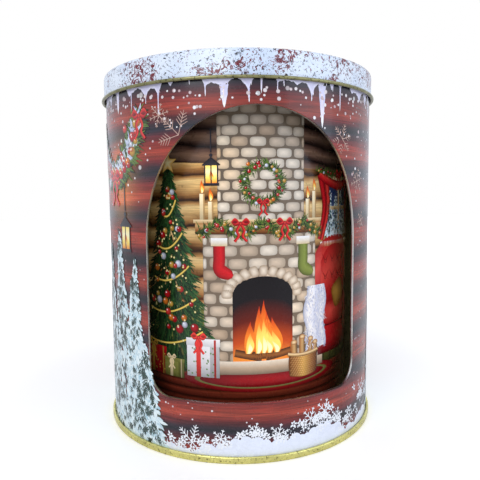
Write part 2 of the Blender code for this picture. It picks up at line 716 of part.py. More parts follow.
def make_mainspring(inner):
    """Spiral strip from the arbor to the barrel's wall."""
    start = ARBOR_RADIUS + GAP + SPRING_STRIP / 2
    end = inner - GAP - SPRING_STRIP / 2
    count = SPRING_TURNS * SPRING_POINTS
    low = BARREL_BOTTOM + GAP
    high = BARREL_TOP - BARREL_WALL - GAP
    mesh = bpy.data.meshes.new("mainspring")
    points = []
    for i in range(count + 1):
        share = i / count
        turn = FULL_TURN * SPRING_TURNS * share
        radius = start + (end - start) * share
        x, y = radius * math.cos(turn), radius * math.sin(turn)
        points += [(x, y, low), (x, y, high)]
    faces = [(2 * i, 2 * i + 2, 2 * i + 3, 2 * i + 1) for i in range(count)]
    mesh.from_pydata(points, [], faces)
    spring = add("mainspring", mesh, STEEL)
    strip = spring.modifiers.new("strip", "SOLIDIFY")
    strip.thickness = SPRING_STRIP
    strip.offset = 0


def make_winding():
    """Arbor, its bush in the bedplate, the ratchet wheel with its click, and the key."""
    foot = KEY_FOOT + KEY_THICKNESS
    rod("winding_arbor", ARBOR_RADIUS, foot, ARBOR_TOP, STEEL)
    bore = ARBOR_RADIUS + ARBOR_RUNNING
    sleeve = bore + BUSH_WALL
    turned(
        "arbor_bush",
        [
            (BUSH_FLANGE_RADIUS, BUSH_TOP),
            (BUSH_FLANGE_RADIUS, BED_TOP + GAP),
            (sleeve, BED_TOP + GAP),
            (sleeve, BED_BOTTOM),
            (bore, BED_BOTTOM),
            (bore, BUSH_TOP),
        ],
        BRASS,
    )
    extruded(
        "ratchet_wheel",
        [ratchet_outline(), circle(ARBOR_RADIUS + GAP)],
        RATCHET_THICKNESS,
        STEEL,
        (0, 0, RATCHET_BOTTOM + RATCHET_THICKNESS / 2),
    )
    make_click()
    make_key()


def ratchet_outline():
    """Saw teeth: each rises slowly to the rim and drops straight to the root."""
    step = FULL_TURN / RATCHET_TEETH
    root = RATCHET_RADIUS - RATCHET_DEPTH
    points = []
    for i in range(RATCHET_TEETH):
        for radius, turn in ((root, i * step), (RATCHET_RADIUS, (i + 0.92) * step)):
            points.append((radius * math.cos(turn), radius * math.sin(turn)))
    return points


def make_click():
    """Flat spring click, held by one screw, whose tip rides on the ratchet teeth."""
    tip_x = -(RATCHET_RADIUS + GAP + CLICK_THICKNESS)
    root_x, root_y = CLICK_ROOT_X, CLICK_ROOT_Y
    tab = [
        (root_x + CLICK_TAB_RADIUS * math.cos(math.radians(a)), root_y + CLICK_TAB_RADIUS * math.sin(math.radians(a)))
        for a in range(200, 470, 30)
    ]
    blade = [
        (root_x - 0.4 * CLICK_TAB_RADIUS, root_y + 1.3 * CLICK_TAB_RADIUS),
        (tip_x + CLICK_THICKNESS, -0.9 * RATCHET_RADIUS),
        (tip_x + CLICK_THICKNESS, 0),
        (tip_x, 0),
        (tip_x, -RATCHET_RADIUS),
        (root_x - CLICK_TAB_RADIUS, root_y + 0.3 * CLICK_TAB_RADIUS),
    ]
    outline = tab + blade
    hole = circle(SCREW_SHANK_RADIUS + GAP, 12, root_x, root_y)
    middle = RATCHET_BOTTOM + RATCHET_THICKNESS / 2
    extruded("click_spring", [outline, hole], RATCHET_THICKNESS, STEEL, (0, 0, middle))
    small_screw("click_screw", root_x, root_y, RATCHET_BOTTOM + RATCHET_THICKNESS + GAP, BED_TOP - SCREW_DEPTH / 2)


def small_screw(name, x, y, seat, end):
    """Cheese-head screw: the head stands on seat and the shank ends at end. The slot is cut across."""
    profile = [
        (0, seat + SCREW_HEAD),
        (SCREW_HEAD_RADIUS, seat + SCREW_HEAD),
        (SCREW_HEAD_RADIUS, seat),
        (SCREW_SHANK_RADIUS, seat),
        (SCREW_SHANK_RADIUS, end),
        (0, end),
    ]
    screw = turned(name, profile, STEEL, 12, (x, y, 0), closed=False)
    slot = block(
        name + "_slot",
        (x - 2 * SCREW_HEAD_RADIUS, y - 0.15 * SCREW_HEAD_RADIUS, seat + 0.5 * SCREW_HEAD),
        (x + 2 * SCREW_HEAD_RADIUS, y + 0.15 * SCREW_HEAD_RADIUS, seat + 2 * SCREW_HEAD),
        STEEL,
    )
    combine(screw, slot, "DIFFERENCE")


def make_key():
    """Butterfly key: two round wings with eyes on a hub that is bored for the arbor."""
    half = KEY_WING_HEIGHT / 2
    centre = KEY_HALF_SPAN - half
    wing = []
    for side in (0, 180):
        for i in range(9):
            turn = math.radians(side - 90 + 180 * i / 8)
            offset = centre if side == 0 else -centre
            wing.append((offset + half * math.cos(turn), half * math.sin(turn)))
    eyes = [circle(KEY_EYE_RADIUS, 12, centre), circle(KEY_EYE_RADIUS, 12, -centre)]
    key = extruded(
        "winding_key", [wing] + eyes, KEY_THICKNESS, STEEL, (0, 0, KEY_FOOT + half), (math.pi / 2, 0, 0)
    )
    top = KEY_FOOT + KEY_HUB_HEIGHT
    hub = rod("key_hub", KEY_HUB_RADIUS, KEY_FOOT + GAP, top, STEEL)
    combine(key, hub, "UNION")
    bore = rod("key_bore", ARBOR_RADIUS + GAP, KEY_FOOT + KEY_THICKNESS - GAP, top + GAP, STEEL)
    combine(key, bore, "DIFFERENCE")


def make_bedplate():
    """Cast plate with two bearing posts and the seat of the comb, drilled for the screws."""
    bed = block(
        "bedplate", (-BED_LEFT, -BED_HALF_DEPTH, BED_BOTTOM), (BED_RIGHT, BED_HALF_DEPTH, BED_TOP), ZINC, BED_ROUNDING
    )
    root = BED_TOP - BED_THICKNESS / 2
    for name, x in (("left_post", LEFT_POST), ("right_post", RIGHT_POST)):
        post = block(
            name,
            (x - POST_THICKNESS / 2, -POST_HALF_WIDTH, root),
            (x + POST_THICKNESS / 2, POST_HALF_WIDTH, SPINDLE_Z + POST_TOP),
            ZINC,
        )
        combine(bed, post, "UNION")
    seat = block(
        "comb_seat",
        (CYLINDER_MIDDLE - CYLINDER_LENGTH / 2, COMB_TIP + COMB_REACH + COMB_MARGIN, root),
        (CYLINDER_MIDDLE + CYLINDER_LENGTH / 2, COMB_BACK, COMB_SEAT),
        ZINC,
    )
    combine(bed, seat, "UNION")
    bearing = rod(
        "spindle_bearing", SPINDLE_RADIUS + BEARING_CLEARANCE, LEFT_POST - 2 * POST_THICKNESS,
        RIGHT_POST + 2 * POST_THICKNESS, ZINC, 12, (0, 0, SPINDLE_Z), ALONG_X,
    )
    combine(bed, bearing, "DIFFERENCE")
    sleeve = ARBOR_RADIUS + ARBOR_RUNNING + BUSH_WALL
    bush_hole = rod("bush_hole", sleeve + GAP, BED_BOTTOM - GAP, BED_TOP + GAP, ZINC)
    combine(bed, bush_hole, "DIFFERENCE")
    for number, (x, y) in enumerate(movement_screw_places(), 1):
        hole = rod(
            f"bed_hole_{number}", MOVEMENT_SCREW_RADIUS + GAP, BED_BOTTOM - GAP, BED_TOP - GAP,
            ZINC, 12, (x, y, 0),
        )
        combine(bed, hole, "DIFFERENCE")
    drill(bed, "click_hole", CLICK_ROOT_X, CLICK_ROOT_Y, BED_TOP)
    drill(bed, "frame_hole", WORM_X, frame_screw_y(), BED_TOP)
    for number, x in enumerate(comb_screw_places(), 1):
        drill(bed, f"comb_hole_{number}", x, comb_screw_y(), COMB_SEAT)


def drill(target, name, x, y, surface):
    """A blind hole for a small screw."""
    hole = rod(
        name, SCREW_SHANK_RADIUS + GAP, surface - SCREW_DEPTH / 2 - 2 * GAP, surface + GAP, ZINC, 12, (x, y, 0)
    )
    combine(target, hole, "DIFFERENCE")


def comb_screw_places():
    return [CYLINDER_MIDDLE - CYLINDER_LENGTH / 4, CYLINDER_MIDDLE + CYLINDER_LENGTH / 4]


def comb_screw_y():
    return (COMB_TIP + COMB_REACH + COMB_MARGIN + COMB_BACK) / 2


def make_comb():
    """Steel comb: one plate slotted into teeth, and its two screws."""
    half = CYLINDER_LENGTH / 2
    plate = block(
        "comb",
        (CYLINDER_MIDDLE - half, COMB_TIP, SPINDLE_Z - COMB_THICKNESS / 2),
        (CYLINDER_MIDDLE + half, COMB_BACK, SPINDLE_Z + COMB_THICKNESS / 2),
        STEEL,
    )
    mesh = bpy.data.meshes.new("comb_slots")
    shape = bmesh.new()
    pitch = CYLINDER_LENGTH / COMB_TEETH
    middle_y = COMB_TIP + (COMB_REACH - COMB_MARGIN) / 2
    for i in range(1, COMB_TEETH):
        place = Matrix.Translation((CYLINDER_MIDDLE - half + i * pitch, middle_y, SPINDLE_Z))
        size = Matrix.Diagonal((COMB_SLOT, COMB_REACH + COMB_MARGIN, 3 * COMB_THICKNESS, 1))
        bmesh.ops.create_cube(shape, size=1, matrix=place @ size)
    shape.to_mesh(mesh)
    shape.free()
    combine(plate, add("comb_slots", mesh, STEEL), "DIFFERENCE")
    seat = SPINDLE_Z + COMB_THICKNESS / 2 + GAP
    for number, x in enumerate(comb_screw_places(), 1):
        hole = rod(
            f"comb_screw_hole_{number}", SCREW_SHANK_RADIUS + GAP, SPINDLE_Z - COMB_THICKNESS,
            SPINDLE_Z + COMB_THICKNESS, STEEL, 12, (x, comb_screw_y(), 0),
        )
        combine(plate, hole, "DIFFERENCE")
        small_screw(f"comb_screw_{number}", x, comb_screw_y(), seat, COMB_SEAT - SCREW_DEPTH / 2)


def make_cylinder():
    """Pinned cylinder, its spindle, the pinion on the crown and the wheel that drives the governor."""
    start = PINION_MIDDLE - CROWN_WIDTH / 2 - 2 * GAP
    rod("cylinder_spindle", SPINDLE_RADIUS, start, SPINDLE_END, STEEL, 12, (0, 0, SPINDLE_Z), ALONG_X)
    bore = SPINDLE_RADIUS + GAP
    half = CYLINDER_LENGTH / 2
    profile = [(CYLINDER_RADIUS, half), (CYLINDER_RADIUS, -half), (bore, -half), (bore, half)]
    drum = turned("pinned_cylinder", profile, BRASS, PIN_PLACES, (CYLINDER_MIDDLE, 0, SPINDLE_Z), ALONG_X)
    mesh = bpy.data.meshes.new("cylinder_pins")
    shape = bmesh.new()
    pitch = CYLINDER_LENGTH / PIN_TRACKS
    for track in range(PIN_TRACKS):
        for pin in range(PINS_PER_TRACK):
            place = (track * PIN_STEP + pin * PIN_PLACES // PINS_PER_TRACK) % PIN_PLACES
            turn = Matrix.Rotation(FULL_TURN * (place + 0.5) / PIN_PLACES, 4, "Z")
            lift = Matrix.Translation((CYLINDER_RADIUS, 0, -half + (track + 0.5) * pitch))
            size = Matrix.Diagonal((2 * PIN_HEIGHT, PIN_WIDTH, PIN_WIDTH, 1))
            bmesh.ops.create_cube(shape, size=1, matrix=turn @ lift @ size)
    shape.to_mesh(mesh)
    shape.free()
    pins = add("cylinder_pins", mesh, STEEL, (CYLINDER_MIDDLE, 0, SPINDLE_Z), ALONG_X)
    combine(drum, pins, "UNION")
    # The object's X axis points down, so a tooth at angle 0 stands in the crown's gap.
    extruded(
        "cylinder_pinion",
        [gear_outline(PINION_TEETH, PINION_MODULE, WHEEL_TOOTH_SHARE), circle(bore, 12)],
        CROWN_WIDTH,
        BRASS,
        (PINION_MIDDLE, 0, SPINDLE_Z),
        ALONG_X,
    )
    extruded(
        "cylinder_wheel",
        [gear_outline(WHEEL_TEETH, GEAR_MODULE, WHEEL_TOOTH_SHARE, -math.pi / 2), circle(bore, 12)],
        WHEEL_THICKNESS,
        IVORY_PLASTIC,
        (WHEEL_MIDDLE, 0, SPINDLE_Z),
        ALONG_X,
    )


def frame_screw_y():
    return GOVERNOR_Y + GOVERNOR_WHEEL_RADIUS


def make_governor():
    """Wheel with its pinion, worm with its air-brake fan, and the frame that carries them."""
    make_governor_wheel()
    make_worm()
    make_fan()
    make_governor_frame()


def make_governor_wheel():
    axis = (0, GOVERNOR_Y, SPINDLE_Z)
    bore = GOVERNOR_PIVOT_RADIUS + GAP
    tooth = math.pi / 2 + math.pi / GOVERNOR_PINION_TEETH
    pinion_outline = gear_outline(GOVERNOR_PINION_TEETH, GEAR_MODULE, WHEEL_TOOTH_SHARE, tooth)
    wheel = extruded(
        "governor_wheel",
        [gear_outline(GOVERNOR_WHEEL_TEETH, GEAR_MODULE, WHEEL_TOOTH_SHARE, -math.pi / 2)],
        GOVERNOR_WHEEL_THICKNESS,
        IVORY_PLASTIC,
        (WORM_X, GOVERNOR_Y, SPINDLE_Z),
        ALONG_X,
    )
    pinion = extruded(
        "governor_pinion",
        [pinion_outline],
        WHEEL_THICKNESS + GAP,
        IVORY_PLASTIC,
        (WHEEL_MIDDLE, GOVERNOR_Y, SPINDLE_Z),
        ALONG_X,
    )
    low = WHEEL_MIDDLE - WHEEL_THICKNESS / 2
    high = WORM_X + GOVERNOR_WHEEL_THICKNESS
    hub = rod("governor_hub", GOVERNOR_HUB_RADIUS, low, high, IVORY_PLASTIC, 12, axis, ALONG_X)
    hole = rod("governor_bore", bore, low - GAP, high + GAP, IVORY_PLASTIC, 10, axis, ALONG_X)
    combine(wheel, hub, "UNION")
    combine(wheel, pinion, "UNION")
    combine(wheel, hole, "DIFFERENCE")
    rod(
        "governor_arbor", GOVERNOR_PIVOT_RADIUS, low - 2 * GAP, FRAME_RIGHT + GAP, STEEL, 10, axis, ALONG_X
    )


def make_worm():
    """Single-start worm: a bar whose radius follows the thread round and along it."""
    turns = WORM_LENGTH / WORM_PITCH
    rings = round(turns * WORM_RINGS_PER_TURN)
    mesh = bpy.data.meshes.new("governor_worm")
    shape = bmesh.new()
    low = SPINDLE_Z - WORM_LENGTH / 2
    levels = [low + WORM_LENGTH * i / rings for i in range(rings + 1)]
    loops = [[shape.verts.new(worm_point(k, z)) for k in range(WORM_SIDES)] for z in levels]
    for lower, upper in zip(loops, loops[1:]):
        for k in range(WORM_SIDES):
            after = (k + 1) % WORM_SIDES
            shape.faces.new((lower[k], lower[after], upper[after], upper[k]))
    shape.faces.new(loops[0][::-1])
    shape.faces.new(loops[-1])
    shape.to_mesh(mesh)
    shape.free()
    worm = add("governor_worm", mesh, STEEL, (WORM_X, WORM_Y, 0))
    bottom = SPINDLE_Z - (FRAME_ARM_Z - SPINDLE_Z) - FRAME_ARM / 2
    shaft = rod(
        "worm_shaft", GOVERNOR_PIVOT_RADIUS, bottom, FAN_BOTTOM + FAN_HEIGHT, STEEL, 10, (WORM_X, WORM_Y, 0)
    )
    combine(worm, shaft, "UNION")


def worm_point(side, z):
    """A point of the thread. The groove faces +Y at the height of the wheel's axis."""
    turn = FULL_TURN * side / WORM_SIDES
    phase = (turn - math.pi / 2) - FULL_TURN * (z - SPINDLE_Z) / WORM_PITCH
    radius = WORM_RADIUS - WORM_THREAD * math.cos(phase) - WORM_THREAD * 0.25
    return (radius * math.cos(turn), radius * math.sin(turn), z)


def make_fan():
    """Two flat vanes on a hub."""
    centre = (WORM_X, WORM_Y, 0)
    top = FAN_BOTTOM + FAN_HEIGHT
    fan = rod("governor_fan", FAN_HUB_RADIUS, FAN_BOTTOM, top, BLACK_PLASTIC, 12, centre)
    vane = block(
        "fan_vanes",
        (WORM_X - FAN_RADIUS, WORM_Y - FAN_THICKNESS / 2, FAN_BOTTOM + GAP),
        (WORM_X + FAN_RADIUS, WORM_Y + FAN_THICKNESS / 2, top - GAP),
        BLACK_PLASTIC,
    )
    combine(fan, vane, "UNION")
    bore = rod(
        "fan_bore", GOVERNOR_PIVOT_RADIUS + GAP, FAN_BOTTOM - GAP, top + GAP, BLACK_PLASTIC, 10, centre
    )
    combine(fan, bore, "DIFFERENCE")


def make_governor_frame():
    """Moulded frame: foot, two side plates and two arms that hold the worm's ends."""
    foot = BED_TOP + GAP
    back = WORM_Y - FRAME_REACH
    front = GOVERNOR_Y + GOVERNOR_HUB_RADIUS + 2 * FRAME_WALL
    arm_front = WORM_Y + WORM_RADIUS
    top = FRAME_ARM_Z + FRAME_ARM / 2
    low_arm = 2 * SPINDLE_Z - FRAME_ARM_Z
    foot_front = frame_screw_y() + SCREW_HEAD_RADIUS + FRAME_WALL
    frame = block(
        "governor_frame", (FRAME_LEFT, back, foot), (FRAME_RIGHT, foot_front, foot + FRAME_ARM), BLACK_PLASTIC
    )
    for name, x in (("left_plate", FRAME_LEFT), ("right_plate", FRAME_RIGHT - FRAME_WALL)):
        plate = block(name, (x, back, foot), (x + FRAME_WALL, front, top), BLACK_PLASTIC)
        combine(frame, plate, "UNION")
    for name, z in (("upper_arm", FRAME_ARM_Z), ("lower_arm", low_arm)):
        arm = block(
            name, (FRAME_LEFT, back, z - FRAME_ARM / 2), (FRAME_RIGHT, arm_front, z + FRAME_ARM / 2), BLACK_PLASTIC
        )
        combine(frame, arm, "UNION")
    pivot = GOVERNOR_PIVOT_RADIUS + BEARING_CLEARANCE
    worm_hole = rod(
        "worm_pivots", pivot, low_arm - FRAME_ARM, FRAME_ARM_Z + FRAME_ARM, BLACK_PLASTIC, 10, (WORM_X, WORM_Y, 0)
    )
    combine(frame, worm_hole, "DIFFERENCE")
    axis = (0, GOVERNOR_Y, SPINDLE_Z)
    hub_hole = rod(
        "hub_bearing", GOVERNOR_HUB_RADIUS + BEARING_CLEARANCE, FRAME_LEFT - FRAME_WALL, WORM_X,
        BLACK_PLASTIC, 12, axis, ALONG_X,
    )
    combine(frame, hub_hole, "DIFFERENCE")
    arbor_hole = rod(
        "arbor_bearing", pivot, WORM_X, FRAME_RIGHT + FRAME_WALL, BLACK_PLASTIC, 10, axis, ALONG_X
    )
    combine(frame, arbor_hole, "DIFFERENCE")
    y = frame_screw_y()
    screw_hole = rod(
        "frame_screw_hole", SCREW_SHANK_RADIUS + GAP, foot - GAP, foot + 2 * FRAME_ARM, BLACK_PLASTIC, 12,
        (WORM_X, y, 0),
    )
    combine(frame, screw_hole, "DIFFERENCE")
    small_screw("governor_frame_screw", WORM_X, y, foot + FRAME_ARM + GAP, BED_TOP - SCREW_DEPTH / 2)


def make_movement_cover():
    """Dust cover that stands on the bedplate's edge, with a hole for the hub."""
    cover = block(
        "movement_cover",
        (-BED_LEFT, -BED_HALF_DEPTH, BED_TOP + GAP),
        (BED_RIGHT, BED_HALF_DEPTH, COVER_TOP),
        IVORY_PLASTIC,
        BED_ROUNDING,
    )
    inside = block(
        "cover_inside",
        (-BED_LEFT + COVER_WALL, -BED_HALF_DEPTH + COVER_WALL, BED_TOP - GAP),
        (BED_RIGHT - COVER_WALL, BED_HALF_DEPTH - COVER_WALL, COVER_TOP - COVER_WALL),
        IVORY_PLASTIC,
        BED_ROUNDING - COVER_WALL,
    )
    combine(cover, inside, "DIFFERENCE")
    hole = rod(
        "hub_hole", HUB_RADIUS + 4 * GAP, COVER_TOP - 2 * COVER_WALL, COVER_TOP + COVER_WALL, IVORY_PLASTIC, 24
    )
    combine(cover, hole, "DIFFERENCE")


def make_movement_screws():
    """Screws that come up through the well's floor into the bedplate."""
    seat = WELL_FLOOR - SHEET / 2 - GAP
    top = BED_TOP - 3 * GAP
    for number, (x, y) in enumerate(movement_screw_places(), 1):
        profile = [
            (0, top),
            (MOVEMENT_SCREW_RADIUS, top),
            (MOVEMENT_SCREW_RADIUS, seat),
            (MOVEMENT_SCREW_HEAD_RADIUS, seat),
            (MOVEMENT_SCREW_HEAD_RADIUS, seat - 0.5 * MOVEMENT_SCREW_HEAD),
            (0.6 * MOVEMENT_SCREW_HEAD_RADIUS, seat - MOVEMENT_SCREW_HEAD),
            (0, seat - MOVEMENT_SCREW_HEAD),
        ]
        turned(f"movement_screw_{number}", profile, STEEL, 12, (x, y, 0), closed=False)


def main():
    make_outer_body()
    make_lid()
    make_base_end()
    make_drum()
    make_turntable()
    make_drive_shaft()
    make_barrel()
    make_winding()
    make_bedplate()
    make_comb()
    make_cylinder()
    make_governor()
    make_movement_cover()
    make_movement_screws()


main()
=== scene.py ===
"""Looks of the musical carousel tin: smooth sheet-metal shells, their prints and finishes, light and camera.

Sizes are in metres, in the CAD part's frame. Prints are drawn flat in millimetres, as (along the wall, up),
and then wrapped round the tin as thin layers of ink. Along is 0 in the middle of the window, where the wall
faces -Y.
"""

import math

import bmesh
import bpy
import numpy as np
from mathutils import Matrix, Vector


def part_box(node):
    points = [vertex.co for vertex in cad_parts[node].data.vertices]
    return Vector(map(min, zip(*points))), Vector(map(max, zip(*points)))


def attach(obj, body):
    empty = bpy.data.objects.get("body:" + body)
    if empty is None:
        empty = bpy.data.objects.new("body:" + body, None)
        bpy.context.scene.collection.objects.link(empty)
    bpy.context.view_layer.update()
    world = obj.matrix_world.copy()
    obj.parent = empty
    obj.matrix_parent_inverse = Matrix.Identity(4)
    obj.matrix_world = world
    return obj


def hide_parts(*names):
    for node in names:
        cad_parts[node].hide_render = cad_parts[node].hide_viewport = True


bl_info = {
    "name": "Musical carousel tin",
    "version": (1, 0, 0),
    "blender": (4, 5, 0),
    "location": "3D View > Sidebar > Tin",
    "description": "Builds the shells, prints, finishes and studio of the musical carousel tin",
    "category": "Object",
}

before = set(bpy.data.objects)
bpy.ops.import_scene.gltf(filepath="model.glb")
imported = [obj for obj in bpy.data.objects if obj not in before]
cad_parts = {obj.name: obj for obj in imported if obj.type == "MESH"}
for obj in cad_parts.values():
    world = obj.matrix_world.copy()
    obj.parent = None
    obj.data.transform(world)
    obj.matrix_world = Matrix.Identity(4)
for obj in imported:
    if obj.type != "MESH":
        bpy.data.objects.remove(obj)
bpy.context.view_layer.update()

MM = 0.001
INK = 0.012 * MM  # height of one layer of ink
LONGEST = 1.6  # longest edge of a print along the wall, in millimetres
LEAST_AREA = 1e-7  # least doubled area of a printed triangle, in square millimetres
TINY = 1e-12  # keeps a division by a length of 0 finite
SAME_PLACE = 1e-6  # distance in metres within which the points of a sheet are merged
SIDES = 256  # steps round a revolved sheet
SEED = 26  # of the random draws

BODY_RADIUS = 0.079  # outside of the body wall
BODY_AROUND = 2 * math.pi * BODY_RADIUS / MM  # round the body wall, in millimetres
FOOT_SEAM = 0.0034  # height of the base's seam round the foot
DRUM_LOW, DRUM_HIGH = (corner.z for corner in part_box("drum_wall"))
DRUM_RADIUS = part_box("drum_wall")[1].x
TIN_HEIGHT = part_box("lid")[1].z
LID_GAP = 0.0006  # from the body to the lid
PANEL_HEIGHT = 0.005  # middle of the base sheet above the floor
WELL_RADIUS = 0.030  # of the key well in the base
WELL_FLOOR = 0.0175  # middle of the well's own sheet above the floor
WELL_HOLE = 0.0048  # radius of the hole for the winding arbor
PRINT_REACH = {  # foot and top of the prints on each body, in millimetres
    "case": (3.0, 188.0),
    "carousel": (DRUM_LOW / MM + 2, DRUM_HIGH / MM - 2),
}


# Colours


def linear(red, green, blue):
    """Linear colour of an sRGB one from 0 to 255: each channel / 255, to the power 2.2."""
    return (np.array([red, green, blue], float) / 255) ** 2.2


WHITE = linear(250, 250, 252)
SNOW = linear(228, 233, 250)
SNOW_SHADE = linear(176, 186, 222)
ICE = linear(196, 194, 228)
PINK = linear(232, 196, 200)
RED = linear(190, 28, 36)
DARK_RED = linear(104, 12, 22)
BRIGHT_RED = linear(226, 62, 56)
GREEN = linear(52, 88, 48)
DARK_GREEN = linear(16, 36, 26)
LEAF = linear(104, 132, 56)
OLIVE = linear(128, 128, 66)
DARK_OLIVE = linear(62, 62, 34)
PALE_OLIVE = linear(196, 196, 124)
GOLD = linear(222, 170, 74)
YELLOW = linear(250, 222, 110)
GLOW = linear(255, 244, 196)
ORANGE = linear(236, 128, 44)
CREAM = linear(236, 212, 166)
TAN = linear(198, 158, 106)
WOOD = linear(150, 92, 46)
DARK_WOOD = linear(66, 38, 24)
BLACK = linear(20, 16, 20)
IRON = linear(34, 32, 40)
NIGHT = linear(48, 66, 112)
DUSK = linear(118, 140, 184)


def blend(first, second, share):
    """first * (1 - share) + second * share, with share as an array over its own axes."""
    share = np.asarray(share, float)[..., None]
    return first * (1 - share) + second * share


def read(rows, stations, places):
    """Rows of values, given at stations, read at places between them."""
    return np.stack([np.interp(places, stations, column) for column in np.transpose(rows)], -1)


def ramp(tones, share):
    """Colours read along evenly spaced tones at share, from 0 to 1."""
    return read(tones, np.linspace(0, 1, len(tones)), share)


def smooth(low, high, value):
    """Smooth step: 0 below low, 1 above high, and t * t * (3 - 2 * t) between."""
    t = np.clip((value - low) / (high - low), 0, 1)
    return t * t * (3 - 2 * t)


def ray(angle):
    """Unit vectors (cos, sin) at angles."""
    return np.stack([np.cos(angle), np.sin(angle)], -1)


def across(run):
    """Unit vectors at a right angle to the steps of run, on their left."""
    return np.stack([-run[:, 1], run[:, 0]], 1) / np.maximum(np.linalg.norm(run, axis=1, keepdims=True), TINY)


def rising(layer, depth, count, corners):
    """Layer of each corner of count shapes, each shape a little above the last, over depth layers."""
    return layer + depth * np.repeat(np.arange(count), corners) / max(count, 1)


def round_axis(reach, turn, height):
    """Points (reach * sin(turn), -reach * cos(turn), height), row after row."""
    points = np.broadcast_arrays(reach * np.sin(turn), -reach * np.cos(turn), height)
    return np.stack(points, -1).reshape(-1, 3)


def grid_faces(rows, columns, closed_rows=False, closed_columns=False):
    """Quads over a grid: here, beside, beside in the next row, next row. A closed way joins its ends."""
    row, column = np.meshgrid(np.arange(rows - 1 + closed_rows), np.arange(columns - 1 + closed_columns),
                              indexing="ij")
    after, beside = (row + 1) % rows * columns, (column + 1) % columns
    row = row * columns
    return np.stack([row + column, row + beside, after + beside, after + column], -1).reshape(-1, 4)


def curve(points, count):
    """Smooth line through points: each stretch is a cubic with the neighbours' slope at its ends."""
    points = np.array(points, float)
    ends = np.concatenate([[2 * points[0] - points[1]], points, [2 * points[-1] - points[-2]]])
    place = np.linspace(0, len(points) - 1, count)
    index = np.minimum(place.astype(int), len(points) - 2)
    t = (place - index)[:, None]
    a, b, c, d = (ends[index + k] for k in range(4))
    return b + 0.5 * t * (c - a + t * (2 * a - 5 * b + 4 * c - d + t * (3 * (b - c) + d - a)))


# Prints


